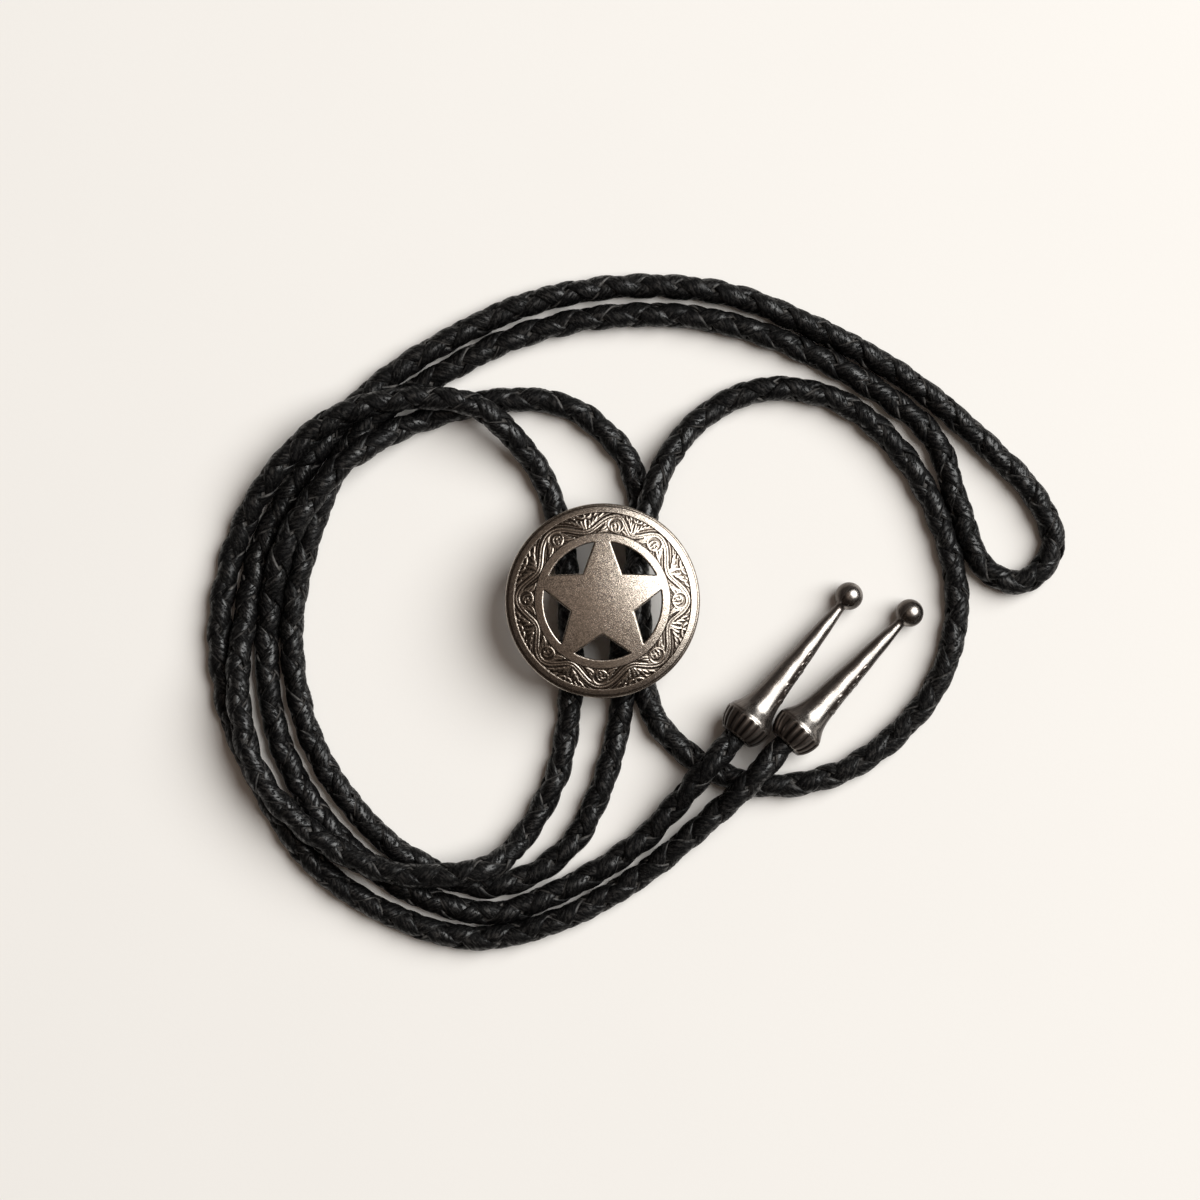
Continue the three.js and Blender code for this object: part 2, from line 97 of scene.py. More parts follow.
class BoloTipSizes(bpy.types.PropertyGroup):
    length: size_mm("Length", 38.4, "Mouth to the end of the ball")
    shoulder: size_mm("Shoulder", 10.2, "Widest diameter")
    ball: size_mm("Ball", 5.5, "Diameter of the end ball")
    ribs: IntProperty(name="Ribs", description="Ribs round the cone", default=18, min=3, max=60)
    rib_depth: size_mm("Rib depth", 0.34, "Depth of the flutes between ribs")
    metal: colour_rgb("Metal", (0.34, 0.312, 0.288), "Rubbed metal")
    # Also the colour of the painted shade on the tips' flanks.
    patina: colour_rgb("Patina", (0.078, 0.060, 0.050), "Dark metal in the flutes and marks, and painted shade on the flanks")


class BoloStageSizes(bpy.types.PropertyGroup):
    height: size_mm("Camera height", 700, "Camera above the surface")
    field: size_mm("Field", 1200 * 0.1977, "Width of the surface in the picture")
    paper: colour_rgb("Paper", (0.885, 0.858, 0.825), "Colour of the surface")
    key: FloatProperty(name="Key light", description="Power of the large light at the upper right",
                       default=164.0, unit="POWER")
    fill: FloatProperty(name="Surroundings", description="Brightness of the room low down", default=0.035)
    overhead: FloatProperty(name="Overhead", description="Brightness of the room overhead", default=0.38)


# ---- shader expressions
def arithmetic(operation, swapped=False):
    """A method of Wire that joins it and another wire or a number in a Math node."""
    if swapped:
        return lambda wire, other: wire.maths(operation, other, wire)
    return lambda wire, other: wire.maths(operation, wire, other)


class Wire:
    """One output of a node. Arithmetic on wires adds Math nodes."""

    def __init__(self, graph, socket):
        self.graph = graph
        self.socket = socket

    def maths(self, operation, *values):
        return self.graph.add("ShaderNodeMath", {"operation": operation}, dict(enumerate(values)))

    __add__, __radd__ = arithmetic("ADD"), arithmetic("ADD", swapped=True)
    __sub__, __rsub__ = arithmetic("SUBTRACT"), arithmetic("SUBTRACT", swapped=True)
    __mul__ = arithmetic("MULTIPLY")

    def size(self):
        """Its value without the sign."""
        return self.maths("ABSOLUTE", self)

    def ramp(self, low, high, at_low=0.0, at_high=1.0):
        """Smooth step from at_low to at_high while this value goes from low to high."""
        return self.graph.add("ShaderNodeMapRange", {"interpolation_type": "SMOOTHSTEP", "clamp": True},
                              {"Value": self, "From Min": low, "From Max": high,
                               "To Min": at_low, "To Max": at_high})


class Graph:
    """A node tree and the one method that adds nodes to it and links or sets their sockets."""

    def __init__(self, tree):
        self.tree = tree
        self.tree.nodes.clear()

    def add(self, kind, settings=None, sockets=None, output=0):
        node = self.tree.nodes.new(kind)
        for key, value in (settings or {}).items():
            setattr(node, key, value)
        for key, value in (sockets or {}).items():
            if isinstance(value, Wire):
                self.tree.links.new(value.socket, node.inputs[key])
            elif value is not None:
                node.inputs[key].default_value = value
        return Wire(self, node.outputs[output]) if len(node.outputs) else None

    def blend(self, factor, first, second):
        """Colour that goes from first to second with the factor."""
        colours = {6: first, 7: second}
        for key, value in colours.items():
            if not isinstance(value, Wire):
                colours[key] = (*tuple(value)[:3], 1.0)
        return self.add("ShaderNodeMix", {"data_type": "RGBA"}, {0: factor, **colours}, 2)


class Finish(Graph):
    """A material whose nodes end in one Principled shader."""

    def __init__(self, name):
        self.material = bpy.data.materials.new(name)
        self.material.use_nodes = True
        super().__init__(self.material.node_tree)

    def place(self, source="Object", scale=(1.0, 1.0, 1.0)):
        """Object or UV coordinates in millimetres, scaled. The meshes' UV are in millimetres already."""
        raw = self.add("ShaderNodeTexCoord", None, None, source)
        k = 1 / MM if source == "Object" else 1.0
        return self.add("ShaderNodeMapping", {"vector_type": "POINT"},
                        {"Vector": raw, "Scale": tuple(k * v for v in scale)})

    def noise(self, where, scale, detail=2.0, roughness=0.5, distortion=0.0):
        return self.add("ShaderNodeTexNoise", {"noise_dimensions": "3D"},
                        {"Vector": where, "Scale": scale, "Detail": detail, "Roughness": roughness,
                         "Distortion": distortion})

    def attribute(self, name):
        return self.add("ShaderNodeAttribute", {"attribute_name": name}, None, "Fac")

    def bump(self, height, distance, strength=1.0):
        return self.add("ShaderNodeBump", None, {"Strength": strength, "Distance": distance, "Height": height})

    def finish(self, **sockets):
        """Ends the material in one Principled shader with these sockets."""
        names = {key.replace("_", " "): value for key, value in sockets.items()}
        shader = self.add("ShaderNodeBsdfPrincipled", None, names)
        self.add("ShaderNodeOutputMaterial", None, {"Surface": shader})
        return self.material


# ---- meshes from arrays
MERGE = 0.0006 * MM  # points closer than this are one where a mesh is joined


def wall_quads(rows, columns, closed, first=0):
    """Quads of a grid of rows by columns, row after row. Closed joins the last column to the first."""
    r = np.arange(rows - 1)[:, None]
    c = np.arange(columns if closed else columns - 1)[None, :]
    nxt = (c + 1) % columns
    here, above = r * columns, (r + 1) * columns
    return np.stack([here + c, here + nxt, above + nxt, above + c], axis=-1).reshape(-1, 4) + first


def join_tubes(tubes):
    """Points, quads, end caps and UV of tubes in one mesh. Each is its rings of points, row after row, both
    parts of its UV, and whether its rings run the other way round."""
    points, quads, caps, uv, first = [], [], [], [], 0
    for place, along, across, turn_over in tubes:
        rows, columns = along.shape
        order = -1 if turn_over else 1
        ring = np.arange(columns)[::-order]
        points.append(place.reshape(-1, 3))
        quads.append(wall_quads(rows, columns, True, first)[:, ::order])
        caps += [ring + first, ring[::-1] + first + (rows - 1) * columns]
        uv.append(np.stack([along, across], axis=-1).reshape(-1, 2))
        first += along.size
    return np.vstack(points), np.vstack(quads), caps, np.vstack(uv)


def new_piece(name, points, quads, caps=(), values=None, uv=None, material=None, join=False):
    """A mesh object from arrays: points in metres, quads, end caps as rings of point numbers,
    per-point values and per-point UV. join merges points that meet and turns faces outwards."""
    mesh = bpy.data.meshes.new(name)
    faces = np.asarray(quads).tolist() + [list(map(int, ring)) for ring in caps]
    mesh.from_pydata(np.asarray(points, float).tolist(), [], faces)
    for key, data in (values or {}).items():
        mesh.attributes.new(key, "FLOAT", "POINT").data.foreach_set("value", np.asarray(data, np.float32))
    if uv is not None:
        corner = np.zeros(len(mesh.loops), np.int32)
        mesh.loops.foreach_get("vertex_index", corner)
        mesh.uv_layers.new(name="along").data.foreach_set("uv", np.asarray(uv, np.float32)[corner].ravel())
    if join:
        work = bmesh.new()
        work.from_mesh(mesh)
        bmesh.ops.remove_doubles(work, verts=work.verts, dist=MERGE)
        bmesh.ops.recalc_face_normals(work, faces=work.faces)
        work.to_mesh(mesh)
        work.free()
    mesh.polygons.foreach_set("use_smooth", np.ones(len(mesh.polygons), bool))
    mesh.update()
    piece = bpy.data.objects.new(name, mesh)
    bpy.context.scene.collection.objects.link(piece)
    if material is not None:
        mesh.materials.append(material)
    return piece


# ---- where the cord lies
# The route's points: across and down in the picture in steps, and a level, which is 0 on the surface
# and 1 over another cord. bends() gives points about the middle of the bend that four strands share.
STEP = 0.1977 * MM  # a step of the picture at the surface
CONCHO_AT = (602.5, 600.8)  # the concho's middle, which is the frame's origin
LOOK_AT = (600.0, 600.0)  # the point under the camera
LOOK_HEIGHT = 700 * MM
BEND_AT = (440.0, 625.0)
CORD_LIFT = 0.05 * MM  # gap under a cord on the surface
CORD_CROSSING = 4.5 * MM  # height of level 1
CLIP = 0.4  # level of a cord on the slide clip
SPAN_STEPS = 160  # pieces of the smooth curve from one point to the next


def bends(*stops):
    """Points of the bend at the left, each from an angle, a radius in steps and a level."""
    return [(BEND_AT[0] + radius * math.cos(math.radians(degrees)),
             BEND_AT[1] - radius * math.sin(math.radians(degrees)), level) for degrees, radius, level in stops]


ROUTE = {
    "tail_right": [
        (809.3, 718.3, 0.64), (785, 743.5, 0.74), (752, 780, 1.08), (712.8, 816, 0.55), (641, 875.3, 0.02),
        (550, 923.4, 0)],
    "strand_a": [
        *bends((276, 314.5, 0), (258, 290.5, 0), (240, 265.5, 0), (220, 237.5, 0), (200, 226.5, 0),
        (178, 219.7, 0), (156, 220, 0), (134, 226.5, 0.77), (116, 231.8, 1.02), (98, 229, 1),
        (82, 222.5, 1.1))],
    "pass_one": [
        (501, 424.5, 0.84), (545, 482, 0), (567.5, 574, CLIP), (571, 628, CLIP), (571, 690, 0.02)],
    "strand_b": [
        (557.5, 773.5, 0), (518, 843, 0.2), *bends((281, 247, 1), (261, 252, 1.05), (240, 245, 1),
        (220, 235.5, 1), (200, 215, 1), (178, 195, 0.2), (156, 195, 0), (134, 203.5, 0), (116, 226, 0),
        (102, 252, 0))],
    "neck_out": [
        (441.6, 344.3, 0), (521.5, 306.3, 0), (620, 286.7, 0), (725.5, 293.8, 0), (816, 328.5, 0),
        (905, 377.8, 0), (983.4, 442.6, 0), (1038, 501.2, 0), (1053, 547.5, 0), (1022.8, 581.5, 0)],
    "neck_back": [
        (984, 567, 0), (958, 505, 0), (935, 440, 0), (882, 394.3, 0), (800, 348.8, 0), (705, 319, 0),
        (610, 316.4, 0), (514, 338, 0)],
    "strand_d": [
        *bends((93, 243, 0), (106, 220, 0), (120, 195, 0), (134, 170, 0), (156, 151, 0), (178, 148, 0),
        (200, 154, 0), (220, 170.3, 0), (240, 194.5, 0), (261, 232, 0), (281, 266, 0))],
    "pass_two": [
        (566, 850, 0), (603.5, 780.3, 0), (622.5, 702, 0.02), (621, 655, 0.68), (626, 622, 1.44),
        (636, 574, 1.44), (642.5, 542, 1.09), (650.5, 500, 1), (672, 452, 0.5)],
    "side_loop": [
        (710, 412, 0), (768, 389, 0), (838, 401, 0), (900, 451, 0), (943, 530, 0), (957, 615, 0),
        (927, 700, 0), (849, 768, 0), (765, 785.5, 0), (697.5, 760.5, 0), (657, 721, 0)],
    "pass_three": [
        (644, 680, 0.02), (640, 628, CLIP), (638, 574, CLIP), (638, 540, 0.04), (639, 500, 0),
        (624, 453.8, 0)],
    "strand_c": [
        (571.2, 408.6, 0), (500, 400.5, 0), *bends((98, 203, 0.1), (110, 194, 0.75), (122, 188, 1.02),
        (134, 181, 1.02), (145, 176.5, 0.88), (156, 173.5, 0.66), (178, 172, 0.02), (200, 182.3, 0),
        (220, 202, 0), (240, 228, 0), (261, 263, 0), (280, 292.5, 0))],
    "tail_left": [
        (560, 891, 0), (640, 842, 0.02), (672, 809, 0.35), (711, 764, 1.06), (735.7, 736.7, 0.74),
        (757.5, 709.3, 0.64)],
}


def placed(across, down, height):
    """Point of the frame that the picture shows at (across, down), at this height: the place on the
    surface drawn towards the point under the camera by height over camera height."""
    shrink = 1 - height / LOOK_HEIGHT
    x = (across - LOOK_AT[0]) * shrink + LOOK_AT[0] - CONCHO_AT[0]
    y = (LOOK_AT[1] - down) * shrink + CONCHO_AT[1] - LOOK_AT[1]
    return (x * STEP, y * STEP, height)


def smooth_route(low):
    """The whole cord's middle line: a centripetal Catmull-Rom curve through the route's points.
    Each span is a cubic whose end slopes follow from the square roots of the neighbouring chords.
    Gives the distance along it, its points, and the distance at which each run starts."""
    stops = np.array([placed(across, down, low + level * CORD_CROSSING)
                      for run in ROUTE.values() for across, down, level in run])
    ends = np.vstack([2 * stops[0] - stops[1], stops, 2 * stops[-1] - stops[-2]])
    p0, p1, p2, p3 = ends[:-3], ends[1:-2], ends[2:-1], ends[3:]
    d0, d1, d2 = (np.sqrt(np.linalg.norm(b - a, axis=1))[:, None] for a, b in ((p0, p1), (p1, p2), (p2, p3)))
    m1 = ((p1 - p0) / d0 - (p2 - p0) / (d0 + d1) + (p2 - p1) / d1) * d1
    m2 = ((p2 - p1) / d1 - (p3 - p1) / (d1 + d2) + (p3 - p2) / d2) * d1
    u = (np.arange(SPAN_STEPS) / SPAN_STEPS)[None, :, None]
    c2 = -3 * p1 + 3 * p2 - 2 * m1 - m2
    c3 = 2 * p1 - 2 * p2 + m1 + m2
    line = (p1[:, None] + m1[:, None] * u + c2[:, None] * u ** 2 + c3[:, None] * u ** 3).reshape(-1, 3)
    line = np.vstack([line, stops[-1]])
    along = np.concatenate([[0], np.cumsum(np.linalg.norm(np.diff(line, axis=0), axis=1))])
    starts, stop = {}, 0
    for name, run in ROUTE.items():
        starts[name] = along[stop * SPAN_STEPS]
        stop += len(run)
    return along, line, starts


class CordLine:
    """Middle line of the cord with its sideways and upward directions, at any distance along it."""

    def __init__(self, low):
        self.along, self.line, self.starts = smooth_route(low)
        self.length = self.along[-1]
        slope = np.gradient(self.line, self.along + np.arange(len(self.along)) * 1e-12, axis=0)
        self.ahead = slope / np.linalg.norm(slope, axis=1)[:, None]

    def at(self, distance):
        """Points and the directions sideways (level) and up, with straight runs past both ends."""
        s = np.clip(distance, 0, self.length)
        point, ahead = (np.stack([np.interp(s, self.along, rows[:, k]) for k in range(3)], axis=-1)
                        for rows in (self.line, self.ahead))
        ahead /= np.linalg.norm(ahead, axis=-1)[..., None]
        point = point + ahead * (distance - s)[..., None]
        side = np.stack([-ahead[..., 1], ahead[..., 0], np.zeros(ahead.shape[:-1])], axis=-1)
        side /= np.linalg.norm(side, axis=-1)[..., None]
        return point, side, np.cross(ahead, side)

    def around(self, distance, radius, angle):
        """Points at a radius and an angle about the middle line."""
        point, side, up = self.at(distance)
        return point + radius[..., None] * (np.cos(angle)[..., None] * side + np.sin(angle)[..., None] * up)


LACE_STEP = 0.52 * MM  # from one section of a lace to the next
LACE_POWER = 2.6  # 2 would make a lace's section an ellipse
LACE_HELIX = 0.25 * MM  # where a lace's slant is measured, outside its resting radius
LACE_FLOOR = 0.02 * MM  # lowest point of a lace
LACE_APART = 311.0  # keeps the noise on one lace apart from that on the next
LACES = ((1, 0), (1, 1), (-1, 0), (-1, 1))  # hand, and whether it starts half a turn on
CORE_STEP = 1.5 * MM
CORE_SIDES = 10
CORE_ACROSS = 9.0  # past any lace's edge


def lace_section(width, thickness):
    """Closed section of one flat lace: offsets across and through it. Its face is a superellipse,
    through = half the thickness times (1 - |across| ^ power) ^ (1 / power), and its back is flatter."""
    face = np.sin(np.linspace(-0.5, 0.5, 10) * np.pi)
    back = np.linspace(0.8, -0.8, 4)
    across = np.concatenate([face, back])
    rise = (1 - np.abs(across) ** LACE_POWER) ** (1 / LACE_POWER)
    rise = rise * np.where(np.arange(len(across)) < len(face), 1.0, -0.7)
    return across * width / 2, rise * thickness / 2


def waves(mm, *terms):
    """Sum of size * sin(mm / pitch + shift) over the terms: what makes the laces uneven."""
    return sum(size * np.sin(mm / pitch + shift) for size, pitch, shift in terms)


def braid(line, sizes, start, end):
    """Four laces round a core. A lace of either hand goes round as angle = hand * 2 pi * t / lay
    + half a turn for the second of its hand, and its middle stands at radius = rest
    + hand * lift * cos(4 pi * t / lay), so that each hand is over in two columns and under in two.
    An offset w across the lace moves along the cord by -hand * w * sin(helix) and round it by
    w * cos(helix) / radius. The whole braid rolls slowly along the cord."""
    lay, lift = sizes.turn, sizes.lace_lift
    outer = sizes.diameter / 2 + sizes.crest
    rest = outer - lift - sizes.lace_thickness / 2
    middle = rest + LACE_HELIX
    helix = math.atan(2 * math.pi * middle / lay)
    t = np.linspace(start, end, max(8, int((end - start) / LACE_STEP)))[:, None]
    mm = t / MM
    w0, n0 = lace_section(sizes.lace_width, sizes.lace_thickness)
    tubes = []
    for number, (hand, second) in enumerate(LACES):
        phase = 1.9 * number
        w = w0 * (1 + waves(mm, (0.05, 3.1, phase), (0.04, 7.7, 2.3 * phase)))
        n = n0 * (1 + waves(mm, (0.06, 4.3, 1.3 * phase)))
        tilt = waves(mm, (0.085, 5.3, phase), (0.05, 2.1, 2.1 * phase))
        wave = lift * (1 + waves(mm, (0.10, 9.1, phase))) * np.cos(4 * math.pi * t / lay)
        radius = np.minimum(rest + hand * wave + n + tilt * w, outer)
        s = t - hand * w * math.sin(helix)
        roll = math.pi / 4 + waves(s / MM, (0.42, 41, 0.6), (0.3, 17.3, 1.1))
        angle = hand * 2 * math.pi * t / lay + math.pi * second + w * math.cos(helix) / middle + roll
        place = line.around(s, radius, angle)
        place[..., 2] = np.maximum(place[..., 2], LACE_FLOOR)
        tubes.append((place, np.broadcast_to(mm, w.shape) + LACE_APART * number, w / MM, True))
    t = np.linspace(start, end, max(4, int((end - start) / CORE_STEP)))
    s = np.repeat(t[:, None], CORE_SIDES, axis=1)
    angle = np.broadcast_to(np.arange(CORE_SIDES) * 2 * math.pi / CORE_SIDES, s.shape)
    core = line.around(s, np.full(s.shape, sizes.core / 2), angle)
    return join_tubes([*tubes, (core, s / MM, np.full(s.shape, CORE_ACROSS), False)])


def leather_finish(sizes):
    """Black dyed leather laces: a crinkled skin, glints where it stands out, and lighter lace edges and specks
    that are painted highlights.
    """
    f = Finish("black_leather")
    uv = f.add("ShaderNodeTexCoord", None, None, "UV")
    across = f.add("ShaderNodeSeparateXYZ", None, {0: uv}, 1).size()
    cloud = f.noise(f.place("UV", (0.30, 0.5, 1)), 1.0, 3.0)
    wrinkle = f.noise(f.place("UV", (1.1, 2.2, 1)), 1.0, 3.0, 0.62, 0.4)
    crease = f.noise(f.place("UV", (2.6, 1.5, 1)), 1.0, 3.0, 0.6, 0.8)
    grain = f.noise(f.place("UV", (4.2, 4.2, 1)), 1.0, 3.0, 0.65)
    half = sizes.lace_width / MM / 2
    # Painted highlights: the lace edges and small specks are lightened where light would catch them; a small
    # share of the mix is tone from the wrinkles.
    edge = across.ramp(half * 0.84, half * 0.96) * cloud.ramp(0.45, 0.58)
    glint_speck = grain.ramp(0.54, 0.66) * wrinkle.ramp(0.48, 0.62) * cloud.ramp(0.38, 0.60)
    painted_highlight_mix = edge * 0.62 + glint_speck * 0.30 + wrinkle.ramp(0.50, 0.60) * 0.05
    waxed = (wrinkle * 0.7 + crease * 0.3).ramp(0.45, 0.56) * cloud.ramp(0.36, 0.60, 0.25, 1.0)
    height = wrinkle * 0.8 + crease * 0.35 + grain * 0.45
    return f.finish(Base_Color=f.blend(painted_highlight_mix, sizes.leather, sizes.wear_and_highlight), Roughness=0.42 + grain * 0.16,
                    Specular_IOR_Level=0.10, Coat_Weight=waxed * across.ramp(half * 0.6, half * 0.95, 1.0, 0.3),
                    Coat_Roughness=0.30, Normal=f.bump(height, 0.32 * MM))


# How far into a run under the concho one length of cord ends and the next begins.
LENGTH_ENDS = {"pass_one": 31 * MM, "pass_two": 47 * MM, "pass_three": 21 * MM}
SOCKET_SPARE = 0.9 * MM  # of the route without cord, at the bottom of each socket
PATH_POINTS = 400


class BOLO_OT_cord(bpy.types.Operator):
    """Braids the cord in four lengths that meet under the concho"""

    bl_idname = "bolo.cord"
    bl_label = "Braided cord"

    def execute(self, context):
        sizes = context.scene.bolo_cord
        line = CordLine(sizes.diameter / 2 + CORD_LIFT)
        material = leather_finish(sizes)
        one, two, three = (line.starts[run] + into for run, into in LENGTH_ENDS.items())
        lengths = (
            ("cord_right_tail", SOCKET_SPARE, one, "tip_right", ("cord_tail_right", "cord_strand_a")),
            ("cord_neck_loop", one, two, None,
             ("cord_pass_one", "cord_strand_b", "cord_neck_out", "cord_neck_back", "cord_strand_d")),
            ("cord_side_loop", two, three, None, ("cord_pass_two", "cord_side_loop")),
            ("cord_left_tail", three, line.length - SOCKET_SPARE, "tip_left",
             ("cord_pass_three", "cord_strand_c", "cord_tail_left")),
        )
        for name, start, end, tip, nodes in lengths:
            points, quads, caps, uv = braid(line, sizes, start, end)
            piece = new_piece(name + "_braid", points, quads, caps, uv=uv, material=material)
            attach(piece, "root")
            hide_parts(*nodes)
            path = line.at(np.linspace(start, end, PATH_POINTS))[0]
            if name == "cord_right_tail":
                path = path[::-1]
        return {"FINISHED"}


# ---- concho
# Where the vine swings out and in, round the band in degrees.
SWING_OUT = (128, 80, 48, 0, -45, -92, -136, -182, -232)
SWING_IN = (103, 66, 23, -20, -67, -116, -159, -205)


def stroke_height(x, y, start, bend_at, end, wide):
    """Ridge along a quadratic curve from start to end, drawn towards bend_at. Its height is
    sqrt(1 - (distance / width) ^ 2) and its width swells to wide a third of the way along and then tapers."""
    t = np.linspace(0, 1, 9)
    px = (1 - t) ** 2 * start[0] + 2 * t * (1 - t) * bend_at[0] + t * t * end[0]
    py = (1 - t) ** 2 * start[1] + 2 * t * (1 - t) * bend_at[1] + t * t * end[1]
    width = wide * (0.5 + 1.4 * np.sqrt(t + 0.02) * (1 - t) ** 0.8)
    best = np.zeros_like(x)
    for k in range(len(t) - 1):
        ax, ay, bx, by = px[k], py[k], px[k + 1] - px[k], py[k + 1] - py[k]
        share = np.clip(((x - ax) * bx + (y - ay) * by) / (bx * bx + by * by), 0, 1)
        gap = np.hypot(x - ax - share * bx, y - ay - share * by)
        gap = gap / (width[k] + share * (width[k + 1] - width[k]))
        best = np.maximum(best, np.sqrt(np.clip(1 - gap * gap, 0, 1)))
    return best


def with_strokes(height, x, y, strokes, share):
    """The height with every stroke of a list added at this share of full height."""
    for stroke in strokes:
        height = np.maximum(height, share * stroke_height(x, y, *stroke))
    return height


def ring_height(x, y, reach, wide):
    """Ridge along a circle."""
    gap = (np.hypot(x, y) - reach) / wide
    return np.sqrt(np.clip(1 - gap * gap, 0, 1))


# Strokes of the leaves and petals inside each outward swing, and of the leaves outside each inward one:
# start, bend, end, width.
BUD_LEAVES = (
    ((-1.55, -1.05), (-2.1, -1.60), (-3.5, -1.80), 0.30), ((-1.72, -0.50), (-2.2, -1.00), (-3.0, -1.35), 0.26),
    ((-1.70, 0.10), (-1.95, -0.30), (-2.4, -0.75), 0.20), ((1.60, -1.10), (2.2, -1.62), (3.6, -1.80), 0.30),
    ((1.80, -0.50), (2.25, -1.00), (3.0, -1.35), 0.26), ((1.78, 0.10), (2.05, -0.30), (2.5, -0.75), 0.20))
BUD_PETALS = (
    ((-0.60, -0.95), (-0.95, -0.35), (-0.55, 0.25), 0.30), ((0.05, 0.05), (0.45, 0.55), (0.95, 0.15), 0.28),
    ((0.85, -0.15), (0.95, -0.75), (0.35, -1.15), 0.28), ((-0.15, -0.30), (0.25, -0.05), (0.40, -0.55), 0.24),
    ((-0.55, 0.35), (-0.1, 0.75), (0.45, 0.70), 0.20), ((-0.35, -1.15), (0.0, -0.85), (0.1, -0.55), 0.20))
SPRAY_LEAVES = (
    ((0.05, -1.0), (-0.35, 0.1), (0.20, 1.0), 0.36), ((-0.45, -0.75), (-0.85, 0.1), (-0.70, 0.85), 0.33),
    ((0.55, -0.75), (1.0, 0.0), (0.95, 0.80), 0.33), ((-1.05, -0.25), (-1.60, 0.4), (-1.62, 1.15), 0.31),
    ((1.15, -0.25), (1.75, 0.4), (1.75, 1.15), 0.31), ((-1.80, 0.40), (-2.35, 1.0), (-2.55, 1.55), 0.27),
    ((1.90, 0.40), (2.45, 1.0), (2.65, 1.55), 0.27), ((-0.10, 1.30), (-0.8, 1.45), (-1.25, 1.95), 0.26),
    ((0.45, 1.30), (1.1, 1.40), (1.45, 1.95), 0.26), ((-2.75, 1.15), (-3.2, 1.55), (-3.6, 1.85), 0.22),
    ((2.85, 1.15), (3.3, 1.55), (3.7, 1.85), 0.22), ((0.12, 1.40), (0.25, 1.7), (0.05, 2.0), 0.24),
    ((-1.75, 1.50), (-1.9, 1.8), (-2.3, 1.95), 0.20), ((1.95, 1.50), (2.1, 1.8), (2.5, 1.95), 0.20))
SPRAY_WIDTHS = (0.95, 0.62, 1, 0.95, 1, 0.95, 1, 1)  # how wide each inward swing's leaves fan out
VINE_SWING = 1.44  # millimetres to either side of the band's middle
VINE_SLOPE = 0.53  # about the phase that goes by in a millimetre
VINE_HALF = 0.52  # half width of the vine
FILL_PITCH = 0.46  # between the fine lines on the ground
BUD_RING = 1.36  # radius of the ring round the petals
BUD_LOW = 0.22  # how far inwards its middle lies
BUD_STRETCH = 1.12


def nearest(angle, places):
    """The place nearest to each angle, in degrees, and its number."""
    off = (angle[..., None] - np.array(places)[None, None, :] + 180) % 360 - 180
    number = np.abs(off).argmin(-1)
    return np.take_along_axis(off, number[..., None], -1)[..., 0], number


def band_relief(radius, angle, middle):
    """Height of the cast scroll over its ground, 0 to 1, on the unrolled band: y outwards from its middle
    and x along it in millimetres. A grooved vine y = swing * cos(phase) goes round, the phase rising by half
    a turn from one place in SWING_OUT or SWING_IN to the next. Fine lines cos(distance from the vine) fill
    the ground. Inside each outward swing a ring closes on petals, and outside each inward one leaves fan."""
    degrees = np.degrees(angle)
    y = (radius - middle) / MM
    around = (degrees - SWING_OUT[-1]) % 360 + SWING_OUT[-1]
    knots = [v for pair in zip(SWING_OUT[:-1], SWING_IN) for v in pair] + [SWING_OUT[-1]]
    turns = np.arange(len(knots)) * math.pi
    phase = np.interp(around, knots[::-1], turns[::-1])
    vine = VINE_SWING * np.cos(phase)
    d = np.abs(y - vine) / np.sqrt(1 + (VINE_SWING * np.sin(phase) * VINE_SLOPE) ** 2)
    height = np.clip((VINE_HALF - d) / 0.09, 0, 1) ** 0.5 * (1 - 0.6 * np.exp(-(d / 0.075) ** 2))
    height = height * (1 - 0.2 * np.clip((d - 0.24) / 0.26, 0, 1) ** 2)
    lines = 0.5 + 0.5 * np.cos(2 * math.pi * (d - 0.80) / FILL_PITCH)
    height = np.maximum(height, 0.46 * lines ** 0.7 * (d > 0.57))
    along_degree = math.radians(middle / MM)
    off, number = nearest(degrees, SWING_OUT[:-1])
    xs = -off * along_degree * np.where(number % 2 == 0, 1.0, -1.0) - 0.08
    low = y + BUD_LOW
    inside = np.hypot(xs / BUD_STRETCH, low) < BUD_RING + 0.04
    height = np.where(inside & (np.abs(y - vine) > 0.5), 0.38, height)
    height = np.maximum(height, 0.95 * ring_height(xs / BUD_STRETCH, low, BUD_RING, 0.23))
    height = with_strokes(height, xs, low + 0.12, BUD_PETALS, 0.95)
    height = with_strokes(height, xs, y, BUD_LEAVES, 0.9)
    off, number = nearest(degrees, SWING_IN)
    xo = -off * along_degree * np.where(number % 2 == 0, 1.0, -1.0) / np.array(SPRAY_WIDTHS)[number]
    return with_strokes(height, xo, y, SPRAY_LEAVES, 0.95)


def star_edge(sizes, count):
    """Angles round the star, and the radius at which it ends at each: a straight side from an inner
    corner to where its point meets the ring, and the ring itself across the width of a point."""
    ring = sizes.opening / 2
    half = math.asin(sizes.point / 2 / ring)
    reach = math.pi / sizes.points - half
    across = np.linspace(-reach, reach, count - count // 5)[:-1]
    point = np.linspace(reach, reach + 2 * half, count // 5 + 1)[:-1]
    one = np.concatenate([across, point])
    notches = math.pi / 2 + (np.arange(sizes.points) + 0.5) * 2 * math.pi / sizes.points
    angle = (notches[:, None] + one[None, :]).ravel()
    open_here = np.tile(np.concatenate([np.ones(len(across), bool), np.zeros(len(point), bool)]), sizes.points)
    return angle, open_here, reach


def from_notch(angle, sizes):
    """Size of the angle from the nearest inner corner."""
    turn = 2 * math.pi / sizes.points
    off = (angle - math.pi / 2 - turn / 2) % turn
    return np.minimum(off, turn - off)


